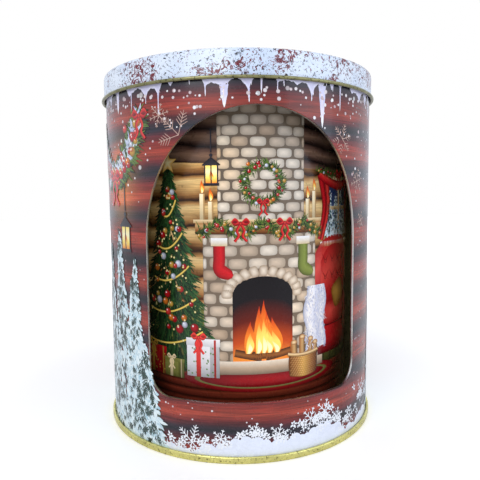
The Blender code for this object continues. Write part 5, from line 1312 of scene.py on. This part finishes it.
class TIN_OT_body(bpy.types.Operator):
    """Builds the body wall with its window, hem, rolled top and foot"""

    bl_idname = "tin.body"
    bl_label = "Body wall"

    def execute(self, context):
        sizes = context.scene.tin_sizes
        flat, reach, faces, hem_faces = body_wall(sizes)
        points = round_axis(reach, flat[:, 0] * MM / BODY_RADIUS, flat[:, 1] * MM)
        finishes = [material(name) for name in ("printed_planks", "inner_lacquer", "bare_tin", "bare_tin")]
        wall = mesh_object("printed_body", points, faces, finishes)
        wall.data.polygons.foreach_set("material_index", np.where(np.arange(len(faces)) < hem_faces, 2, 0))
        close_wall(wall, sizes.sheet)
        set_light(wall, BODY_RADIUS, body_light, body_glow)
        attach(wall, "case")
        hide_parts("outer_body")

        gold = [material("gold_lacquered")]
        middle = BODY_RADIUS - sizes.sheet / 2
        curl_z = TIN_HEIGHT - LID_GAP - sizes.sheet / 2 - sizes.curl
        line = arc(middle - sizes.curl, curl_z, sizes.curl, 225, -225, 22)
        line = np.concatenate([line, [[middle, curl_z - 0.6 * MM]]])
        rim = revolved("body_rolled_top", sheet_loop(line, sizes.sheet), gold)
        hook, foot = middle + 1.2 * MM, 0.75 * MM
        line = [(middle, FOOT_SEAM - 2 * MM), (middle, foot), (hook, foot), (hook, FOOT_SEAM - 1.05 * MM)]
        hem = revolved("body_foot_hook", sheet_loop(rounded(line, 0.3 * MM), sizes.sheet), gold)

        half, thick, steps = 2.25 * MM, 0.55 * MM, 40
        section = np.array([(-half, 0.0), (-half * 0.9, thick), (half * 0.9, thick), (half, 0.0)])
        height = np.linspace(6 * MM, curl_z - 1.6 * MM, steps)[:, None]
        points = np.broadcast_arrays(section[:, 0], BODY_RADIUS - sizes.sheet - section[:, 1], height)
        ends = np.arange(4) + [[0], [4 * steps - 4]]
        faces = np.concatenate([grid_faces(steps, 4, closed_columns=True), ends])
        points = np.stack(points, -1).reshape(-1, 3)
        seam = mesh_object("body_side_seam", points, faces, [material("inner_lacquer")], False)
        close_mesh(seam.data)
        for piece in (rim, hem, seam):
            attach(piece, "case")
        return {"FINISHED"}


def close_wall(wall, thickness):
    """Merges the wall's patches, gives them a thickness inwards and applies it."""
    close_mesh(wall.data)
    solid = wall.modifiers.new("sheet", "SOLIDIFY")
    solid.thickness = thickness
    solid.offset = 0
    solid.material_offset = 1
    solid.material_offset_rim = 1
    with bpy.context.temp_override(object=wall, active_object=wall, selected_objects=[wall]):
        bpy.ops.object.modifier_apply(modifier="sheet")


class TIN_OT_lid(bpy.types.Operator):
    """Builds the slip lid with its sunk panel and rolled edge"""

    bl_idname = "tin.lid"
    bl_label = "Lid"

    def execute(self, context):
        sizes = context.scene.tin_sizes
        radius = BODY_RADIUS + LID_GAP + sizes.sheet / 2
        top, low = TIN_HEIGHT - sizes.sheet / 2, TIN_HEIGHT - sizes.lid_skirt
        edge, sunk = radius - 7 * MM, top - 1.3 * MM
        line = rounded([
            (0, sunk),
            (edge * 0.5, sunk),
            (edge - 1.3 * MM, sunk),
            (edge, top),
            (radius - 1.4 * MM, top),
            (radius - 0.4 * MM, top - 0.4 * MM),
            (radius, top - 1.4 * MM),
            (radius, low + 1 * MM),
        ], 0.7 * MM)
        skirt = len(line)
        line = np.concatenate([line, arc(radius + sizes.curl, low, sizes.curl, 180, 225, 24)])
        rows = np.full(2 * len(line), 1)
        rows[:skirt] = 0
        rows[skirt : 2 * len(line) - skirt] = 2
        # The lid's rolled edge takes the darker, speckled gold: painted shade and specks.
        finishes = [material(name) for name in ("printed_frost", "inner_lacquer", "speckled_shaded_gold")]
        lid = revolved("printed_lid", sheet_loop(line, sizes.sheet), finishes, rows)
        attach(lid, "lid")
        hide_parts("lid")
        return {"FINISHED"}


class TIN_OT_drum(bpy.types.Operator):
    """Builds the inner drum's wall with its rolled edges"""

    bl_idname = "tin.drum"
    bl_label = "Drum wall"

    def execute(self, context):
        sizes = context.scene.tin_sizes
        middle, inset = DRUM_RADIUS - sizes.sheet / 2, sizes.sheet / 2 + sizes.curl
        straight = np.linspace(DRUM_HIGH - inset - 2 * MM, DRUM_LOW + inset + 2 * MM, 48)
        line = np.concatenate([
            arc(middle - sizes.curl, DRUM_HIGH - inset, sizes.curl, 225, -225, 22),
            np.stack([np.full(48, middle), straight], 1),
            arc(middle - sizes.curl, DRUM_LOW + inset, sizes.curl, 0, -225, 22),
        ])
        rows = np.full(2 * len(line), 1)
        rows[: len(line)] = 0
        finishes = [material("printed_logs"), material("bare_tin")]
        drum = revolved("printed_drum", sheet_loop(line, sizes.sheet), finishes, rows)
        set_light(drum, DRUM_RADIUS, drum_light, drum_glow)
        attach(drum, "carousel")
        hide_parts("drum_wall")
        return {"FINISHED"}


class TIN_OT_base(bpy.types.Operator):
    """Builds the base with its seam round the foot and the well for the key"""

    bl_idname = "tin.base"
    bl_label = "Base"

    def execute(self, context):
        sizes = context.scene.tin_sizes
        middle = BODY_RADIUS - sizes.sheet / 2
        fold = 2 * sizes.sheet
        floor, seam_top = sizes.sheet / 2, FOOT_SEAM - sizes.sheet / 2
        well = WELL_RADIUS + sizes.sheet / 2
        line = rounded([
            (middle + fold, floor + 2 * fold + sizes.sheet),
            (middle + fold, seam_top),
            (middle + 3 * fold, seam_top),
            (middle + 3 * fold, floor),
            (middle - fold, floor),
            (middle - fold, PANEL_HEIGHT),
            (0.5 * (middle + well), PANEL_HEIGHT),
            (well, PANEL_HEIGHT),
            (well, WELL_FLOOR),
            (WELL_HOLE, WELL_FLOOR),
        ], 0.5 * MM)
        base = revolved("lacquered_base", sheet_loop(line, sizes.sheet), [material("gold_lacquered")])
        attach(base, "case")
        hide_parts("base_end")
        return {"FINISHED"}


# Places of the prints on the body, in millimetres: (along, up) for the bank, (along, up, radius) for
# crystals, and (along, foot, height, half width) for firs
FRONT_LOBES = (-58, -50, -43, -33, -25, -16.3, -4.8, 1.2, 9, 19, 27, 33.2, 39.5, 45.9, 56)
BANK_HEIGHTS = (
    (-200, 7), (-150, 5), (-115, 8), (-88, 14), (-72, 9), (-60, 6), (-50, 4.6), (-42, 3.4), (-36, 4),
    (-30, 5), (-25, 7), (-18, 8.4), (-12, 11), (-7, 12.2), (-1, 11.4), (4, 9), (10, 8.2), (15, 10.2),
    (19, 11.8), (23, 10.6), (28, 11.4), (34, 13.4), (39, 12.8), (43, 11), (47, 7.4), (54, 5.2), (62, 5),
    (70, 6.8), (78, 9), (100, 7), (130, 5.5), (170, 8),
)
WALL_CRYSTALS = (
    (-39, 161, 12), (-50, 171, 6), (48, 160, 8), (63, 139, 7), (69, 118, 5), (118, 150, 9), (172, 120, 10),
    (-150, 150, 9), (-190, 100, 8), (224, 160, 8), (150, 60, 8),
)
BANK_CRYSTALS = (
    (-35, 9, 9.5), (-20, 12, 5), (-3, 16, 4.5), (9, 13.5, 5.5), (27, 18.5, 6), (36, 20.5, 6.5), (45, 15, 5),
    (57, 11.5, 6), (73, 21, 7), (84, 17, 5), (104, 14, 8), (140, 15, 7), (190, 14, 9), (-130, 14, 8),
    (-175, 13, 9),
)
BODY_FIRS = (
    (-70, 20, 80, 8), (-102, 12, 94, 13), (-86, 8, 106, 14), (-64, 4, 52, 13), (-73, 5, 84, 10),
    (-116, 8, 74, 12), (-130, 10, 92, 14), (-150, 9, 60, 12), (98, 9, 74, 12), (116, 8, 98, 15),
    (136, 9, 60, 12), (232, 9, 80, 13), (212, 9, 100, 15),
)


def icing(p, sizes, rng, line):
    """Icing in arches between lobes, edge = level - depth * |place in the arch| ^ 2.3, and its icicles."""
    half = BODY_AROUND / 2
    lobes = np.cumsum(rng.uniform(7, 13, 60)) - half
    lobes = lobes[(lobes < -64) | ((lobes > 62) & (lobes < half - 4))]
    lobes = np.sort(np.concatenate([[-half], lobes, FRONT_LOBES, [half]]))
    depth = rng.uniform(0.8, 6.2, len(lobes))
    depth[-1] = depth[0]
    index = np.clip(np.searchsorted(lobes, line), 1, len(lobes) - 1)
    left, right = lobes[index - 1], lobes[index]
    from_arch = np.abs(2 * line - left - right) / (right - left)
    near = np.where(2 * line < left + right, depth[index - 1], depth[index])
    ripple = 0.22 * np.sin(line * 1.9) * np.sin(line * 0.83 + 1)
    turn = line / half * math.pi
    swell = 1.5 * np.sin(12 * turn + 1) + 0.9 * np.sin(31 * turn)
    edge = 186.1 + swell + 1.6 * ripple - near * from_arch**2.3
    pale, bright = linear(208, 206, 236), linear(232, 226, 244)
    p.between(line, edge, 188.5, [linear(226, 224, 246), pale, pale, ICE], 2)

    thick = lobes[(rng.uniform(0, 1, len(lobes)) < 0.3) & (np.abs(lobes) > 60)]
    thick_reach = np.append(rng.uniform(6, 14, len(thick)), [11, 22])
    thick = np.append(thick, [-16.3, 33.2])
    thin = np.concatenate([lobes[1:-1], lobes[1:-1] + rng.normal(0, 3.4, len(lobes) - 2)])
    thin = thin[rng.uniform(0, 1, len(thin)) < 0.62]
    thin_reach = rng.uniform(1.5, 5, len(thin)) + rng.exponential(3.5, len(thin))
    thin_reach = np.append(thin_reach * np.where(np.abs(thin) < 60, 0.55, 1), [17, 8, 12, 12])
    thin = np.append(thin, [-4.8, 1.2, 45.9, -50])
    for place, length, wide in (
        (thick, thick_reach, [3.6, 3.0, 2.6, 2.3, 2.0, 1.5, 1.0, 0.2]),
        (thin, thin_reach, [1.2, 0.9, 0.7, 0.6, 0.62, 0.6, 0.42, 0.1]),
    ):
        count = len(place)
        root = np.interp(place, line, edge) + 0.9
        tip = np.maximum(root - length, arch_top(sizes, place) + 0.8)
        starts = np.stack([place, root], 1)
        ends = np.stack([place + rng.normal(0, 0.2, count), tip], 1)
        widths = np.array(wide) * rng.uniform(0.75, 1.25, (count, 1))
        widths = widths * np.minimum(1, (root - tip) / 7 + 0.35)[:, None]
        widths = widths * (1 + 0.12 * rng.normal(0, 1, (count, 8)))
        p.leaves(starts, ends, widths, [pale, pale, pale, pale, bright, bright, WHITE, WHITE], 3)
        upper, lower = starts * 0.8 + ends * 0.2 - [0.2, 0], starts * 0.3 + ends * 0.7 - [0.1, 0]
        p.leaves(upper, lower, widths * 0.16, blend(PINK, WHITE, 0.5), 4)


def snowfall(p, rng, keep):
    """Snow in the air, where keep allows it: small dots, a few large dim ones, and beige crystals."""
    count = 1300
    along, fall = rng.uniform(-BODY_AROUND / 2, BODY_AROUND / 2, count), rng.uniform(0, 1, count)
    spots = np.stack([along, 182 - 165 * fall**1.9], 1)
    size = 0.22 + 0.34 * rng.uniform(0, 1, count) + rng.exponential(0.26, count) * (spots[:, 1] > 130)
    size = np.where((size > 1.0) & (rng.uniform(0, 1, count) < 0.75), 0.55, size)
    good = keep(spots)
    dimmed = np.where(size > 1.0, 0.62, 1.0)[:, None]
    tone = blend(PINK * 0.7, WHITE, rng.uniform(0, 1, count) ** 1.1) * dimmed
    p.patches(spots[good], np.stack([size, size], 1)[good], tone[good], tone[good] * 0.85, 6, 12)
    beige = blend(PINK * 0.75, TAN, 0.4)
    for x, y, radius in WALL_CRYSTALS:
        flake(p, (x, y), radius, beige, 7, 0.34, keep)


def snow_bank(p, rng, line):
    """A bank of snow with round bumps, snow crystals, small five-petalled flowers and flying specks."""
    half = BODY_AROUND / 2
    bank = np.interp(line, *zip(*BANK_HEIGHTS), period=BODY_AROUND) + 0.4 * np.sin(line * 0.9)
    pale, white = linear(234, 240, 255), linear(246, 249, 255)
    p.between(line, 2.6, bank, [pale * 0.97, pale, pale], 8)
    bumps = np.cumsum(rng.uniform(2.4, 7.5, 170))
    bumps = bumps[bumps < BODY_AROUND] - half
    size = rng.uniform(1.6, 5.0, len(bumps))
    centres = np.stack([bumps, np.interp(bumps, line, bank) - 0.5 * size], 1)
    p.patches(centres, np.stack([size, size], 1), pale, pale, 9, 22)
    for x, y, radius in BANK_CRYSTALS:
        flake(p, (x, y), radius, white, 11)
        count = int(1.5 * radius)
        stems = np.array([x, y]) + rng.normal(0, radius * 0.62, (count, 2)) * [1.2, 0.6] - [0, 0.2 * radius]
        turn = rng.uniform(0, 2 * math.pi, count)
        for petal in range(5):
            heading = ray(turn + petal * 2 * math.pi / 5)
            tips = stems + rng.uniform(1.5, 2.6, (count, 1)) * heading
            p.leaves(stems + 0.3 * heading, tips, [0.1, 0.75, 1.0, 0.7, 0.1], white, 12 + petal)
    specks = np.stack([rng.uniform(-half, half, 500), rng.uniform(0, 1, 500)], 1)
    specks[:, 1] = np.interp(specks[:, 0], line, bank) + 1.2 + rng.exponential(1.6, 500)
    p.patches(specks, (0.3, 0.3), white, pale, 18, 7)


class TIN_OT_body_print(bpy.types.Operator):
    """Prints the icing, icicles, snow, firs, garland and lantern on the body"""

    bl_idname = "tin.body_print"
    bl_label = "Body print"

    def execute(self, context):
        sizes = context.scene.tin_sizes
        rng = np.random.default_rng(SEED)
        half = BODY_AROUND / 2
        line = np.linspace(-half, half, 900)

        p = Print()
        icing(p, sizes, rng, line)
        p.wrapped("icing_print", BODY_RADIUS, "case", ink_light)

        p = Print()
        snowfall(p, rng, lambda points: clear_of_window(sizes, points, 0.8))
        p.wrapped("snowfall_print", BODY_RADIUS, "case", ink_light)

        p = Print()
        snow_bank(p, rng, line)
        for left, right in ((-half, 0.3 - half), (half - 0.3, half)):
            p.box(left, right, 3, 188, [IRON, IRON], 40)
        p.wrapped("snow_bank_print", BODY_RADIUS, "case", ink_light)

        p = Print()
        for x, low, high, wide in BODY_FIRS:
            fir(p, x, low, high, wide, 14, rng, 760)
        p.wrapped("fir_print", BODY_RADIUS, "case", ink_light)

        p = Print()
        s = np.linspace(0, 1, 60)
        for x in (-90, 150, -180):
            swag = np.stack([x - 27 + 54 * s, 172 - 30 * np.sin(math.pi * s) ** 0.8], 1)
            swag = swag[clear_of_window(sizes, swag, 6)]
            garland(p, swag, 12.0, 20, rng, 22.0, 0.75, 0.16)
            bow(p, (x, 142), 8.5, 28)
            for end in (swag[0], swag[-1]):
                bow(p, end, 6.5, 28)
        for x, low in ((-78, 104), (164, 100), (-166, 100)):
            lantern(p, x, low, 12, 20, 20)
        p.wrapped("garland_print", BODY_RADIUS, "case", ink_light)
        return {"FINISHED"}


class TIN_OT_drum_print(bpy.types.Operator):
    """Prints the winter cabin's rooms on the inner drum"""

    bl_idname = "tin.drum_print"
    bl_label = "Drum print"

    def execute(self, context):
        rng = np.random.default_rng(SEED + 1)
        p = Print()
        panelling(p, -92, 96, 40, 76, 0)
        room_window(p, 58, 106, 34, 36, 2, rng)
        fireplace(p, 4, 3, rng)
        p.wrapped("hearth_print", DRUM_RADIUS, "carousel", drum_light)

        p = Print()
        p.patches([(6, 37)], (46, 6.5), BRIGHT_RED * 0.7, DARK_RED, 2, 48)
        p.patches([(6, 37)], (39, 4.6), CREAM * 0.8, OLIVE * 0.6, 4, 48)
        p.patches([(6, 37)], (36, 3.8), RED * 0.8, DARK_RED, 6, 48)
        indoor_tree(p, -47, 46, 146, 25, 6, rng)
        lantern(p, -22, 138, 9, 18, 12)
        present(p, -37, 38, 18, 20, linear(238, 236, 240), BRIGHT_RED, 17, linear(96, 140, 60))
        present(p, -68, 36, 17, 15, RED, GOLD, 17, GOLD)
        present(p, -52, 36, 13, 10, OLIVE, CREAM, 19)
        armchair(p, 54, 42, 10, rng)
        basket(p, 27, 37, 19, 12, 20)
        p.wrapped("parlour_print", DRUM_RADIUS, "carousel", drum_light)

        p = Print()
        panelling(p, 100, 320, 40, 72, 0)
        room_window(p, 150, 84, 54, 58, 2, rng)
        sideboard(p, 118, 38, 64, 34, 6)
        for place, tall in ((124, 14), (131, 10), (172, 12)):
            candle(p, place, 76, 76 + tall, 3.0, 11)
        wreath(p, (107, 118), 11, 6, 6, rng)
        indoor_tree(p, 214, 46, 148, 27, 2, rng)
        rocking_horse(p, 254, 40, 17, 12)
        present(p, 226, 35, 17, 15, linear(238, 236, 240), BRIGHT_RED, 15, RED)
        present(p, 194, 35, 18, 13, OLIVE, RED, 15)
        lantern(p, 184, 138, 9, 14, 12)
        wreath(p, (262, 118), 12, 6, 6, rng)
        p.patches([(306, 37)], (36, 5.5), OLIVE * 0.8, DARK_OLIVE, 4, 48)
        p.patches([(306, 37)], (30, 4.0), RED * 0.8, DARK_RED, 6, 48)
        armchair(p, 306, 42, 8, rng)
        p.wrapped("back_room_print", DRUM_RADIUS, "carousel", drum_light)
        return {"FINISHED"}


NODE_FINISHES = {
    "bare_tin": ("drum_floor",),
    "bright_steel": ("drum_rivet_1", "drum_rivet_2", "drum_rivet_3", "drive_shaft", "winding_arbor",
                     "cylinder_spindle", "governor_arbor", "governor_worm", "movement_screw_1",
                     "movement_screw_2", "movement_screw_3"),
    "grey_steel": ("ratchet_wheel", "click_screw", "click_spring", "mainspring", "comb", "comb_screw_1",
                   "comb_screw_2", "governor_frame_screw"),
    "nickel_plated": ("winding_key",),
    "turned_brass": ("arbor_bush", "hub_nut", "spring_barrel", "barrel_cover", "pinned_cylinder",
                     "cylinder_pinion"),
    "cast_zinc": ("bedplate",),
    "ivory_moulding": ("turntable", "cylinder_wheel", "governor_wheel", "movement_cover"),
    "black_moulding": ("governor_fan", "governor_frame"),
}


class TIN_OT_inner_parts(bpy.types.Operator):
    """Gives the drum's floor and rivets and every part of the movement its finish"""

    bl_idname = "tin.inner_parts"
    bl_label = "Inner parts"

    def execute(self, context):
        for finish, names in NODE_FINISHES.items():
            for name in names:
                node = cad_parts[name]
                node.data.materials.clear()
                node.data.materials.append(material(finish))
        return {"FINISHED"}


FLOOR_HALF, FLOOR_GAP = 2.4, 0.02 * MM  # the floor's half width, and how far it lies below the tin
FRAME_PIXELS, FOCAL_PIXELS = 480, 493.9
CAMERA_AWAY, CAMERA_HEIGHT = 0.3129, 0.1324
CAMERA_ANGLES = (-7.2, -7.3, 5.25, 0.56)  # degrees: place round the tin, heading, downward pitch and roll
LAMPS = (  # name, place, size, power in watts, colour
    ("key", (-0.45, -0.75, 0.65), 0.6, 3.4, (0.97, 0.98, 1.0)),
    ("fill", (0.7, -0.55, 0.4), 0.7, 2.1, (0.78, 0.87, 1.0)),
    ("top", (0.0, 0.1, 1.1), 0.8, 1.2, (0.97, 0.98, 1.0)),
)


class TIN_OT_stage(bpy.types.Operator):
    """Sets the floor, the soft studio light and the camera"""

    bl_idname = "tin.stage"
    bl_label = "Studio"

    def execute(self, context):
        side = np.linspace(-FLOOR_HALF, FLOOR_HALF, 9)
        along, deep = np.meshgrid(side, side)
        points = np.stack([along, deep, np.full_like(along, -FLOOR_GAP)], -1).reshape(-1, 3)
        finish = bpy.data.materials.new("pale_floor")
        finish.use_nodes = True
        shader = finish.node_tree.nodes["Principled BSDF"]
        shader.inputs["Base Color"].default_value = (0.98, 0.955, 0.93, 1)
        shader.inputs["Roughness"].default_value = 0.55
        shader.inputs["Emission Color"].default_value = (1, 1, 1, 1)
        n = Nodes(finish.node_tree)
        point = n.node("ShaderNodeTexCoord").outputs["Object"]
        away = n.node("ShaderNodeVectorMath", {"operation": "LENGTH"}, {0: point}).outputs["Value"]
        seen = n.node("ShaderNodeLightPath").outputs["Is Camera Ray"]
        n.put(shader.inputs["Emission Strength"],
              n.math("MULTIPLY", seen, n.range(away, 0.15, 0.9, 0.25, 1.0)))
        floor = mesh_object("floor", points, grid_faces(len(side), len(side)), [finish])

        world = bpy.data.worlds.new("studio")
        world.use_nodes = True
        context.scene.world = world
        n = Nodes(world.node_tree)
        rays = n.node("ShaderNodeLightPath").outputs
        seen = n.math("MAXIMUM", rays["Is Camera Ray"], rays["Is Glossy Ray"])
        seen = n.math("MAXIMUM", seen, rays["Is Transmission Ray"])
        background = world.node_tree.nodes["Background"]
        n.put(background.inputs["Color"], n.mix(rays["Is Camera Ray"], (0.87, 0.915, 1.0, 1), (1, 1, 1, 1)))
        n.put(background.inputs["Strength"], n.range(seen, 0.0, 1.0, 0.62, 1.0))

        for name, place, size, power, tint in LAMPS:
            lamp = bpy.data.lights.new(name, "AREA")
            lamp.shape = "SQUARE"
            lamp.size = size
            lamp.energy = power
            lamp.color = tint
            obj = bpy.data.objects.new(name, lamp)
            obj.location = place
            middle = Vector((0, 0, TIN_HEIGHT / 2))
            obj.rotation_euler = (middle - obj.location).to_track_quat("-Z", "Y").to_euler()
            context.scene.collection.objects.link(obj)

        camera = bpy.data.cameras.new("camera")
        camera.sensor_width = 36
        camera.lens = camera.sensor_width * FOCAL_PIXELS / FRAME_PIXELS
        obj = bpy.data.objects.new("camera", camera)
        context.scene.collection.objects.link(obj)
        azimuth, heading, pitch, roll = (math.radians(angle) for angle in CAMERA_ANGLES)
        ahead = Vector((-math.sin(heading) * math.cos(pitch), math.cos(heading) * math.cos(pitch),
                        -math.sin(pitch)))
        level = Vector((math.cos(heading), math.sin(heading), 0))
        above = level.cross(ahead)
        right = level * math.cos(roll) - above * math.sin(roll)
        upward = level * math.sin(roll) + above * math.cos(roll)
        turn = Matrix((right, upward, -ahead)).transposed().to_4x4()
        place = Vector((math.sin(azimuth) * CAMERA_AWAY, -math.cos(azimuth) * CAMERA_AWAY, CAMERA_HEIGHT))
        obj.matrix_world = Matrix.Translation(place) @ turn
        context.scene.camera = obj
        context.scene.view_settings.view_transform = "Standard"
        return {"FINISHED"}


class TIN_PT_panel(bpy.types.Panel):
    """Lists the tin's sizes, colours and pieces"""

    bl_idname = "TIN_PT_panel"
    bl_label = "Musical carousel tin"
    bl_space_type = "VIEW_3D"
    bl_region_type = "UI"
    bl_category = "Tin"

    def draw(self, context):
        for group in (context.scene.tin_sizes, context.scene.tin_colours):
            box = self.layout.box()
            for name in group.bl_rna.properties.keys():
                if name not in ("rna_type", "name"):
                    box.prop(group, name)
        for operator in OPERATORS:
            self.layout.operator(operator.bl_idname)


OPERATORS = (
    TIN_OT_finishes,
    TIN_OT_body,
    TIN_OT_lid,
    TIN_OT_drum,
    TIN_OT_base,
    TIN_OT_body_print,
    TIN_OT_drum_print,
    TIN_OT_inner_parts,
    TIN_OT_stage,
)
CLASSES = (TinSizes, TinColours, *OPERATORS, TIN_PT_panel)


def register():
    for cls in CLASSES:
        bpy.utils.register_class(cls)
    bpy.types.Scene.tin_sizes = bpy.props.PointerProperty(type=TinSizes)
    bpy.types.Scene.tin_colours = bpy.props.PointerProperty(type=TinColours)


def unregister():
    del bpy.types.Scene.tin_colours
    del bpy.types.Scene.tin_sizes
    for cls in reversed(CLASSES):
        bpy.utils.unregister_class(cls)


def main():
    """Builds everything with the default sizes and colours."""
    register()
    for operator in OPERATORS:
        group, name = operator.bl_idname.split(".")
        getattr(getattr(bpy.ops, group), name)()


if __name__ == "__main__":
    main()
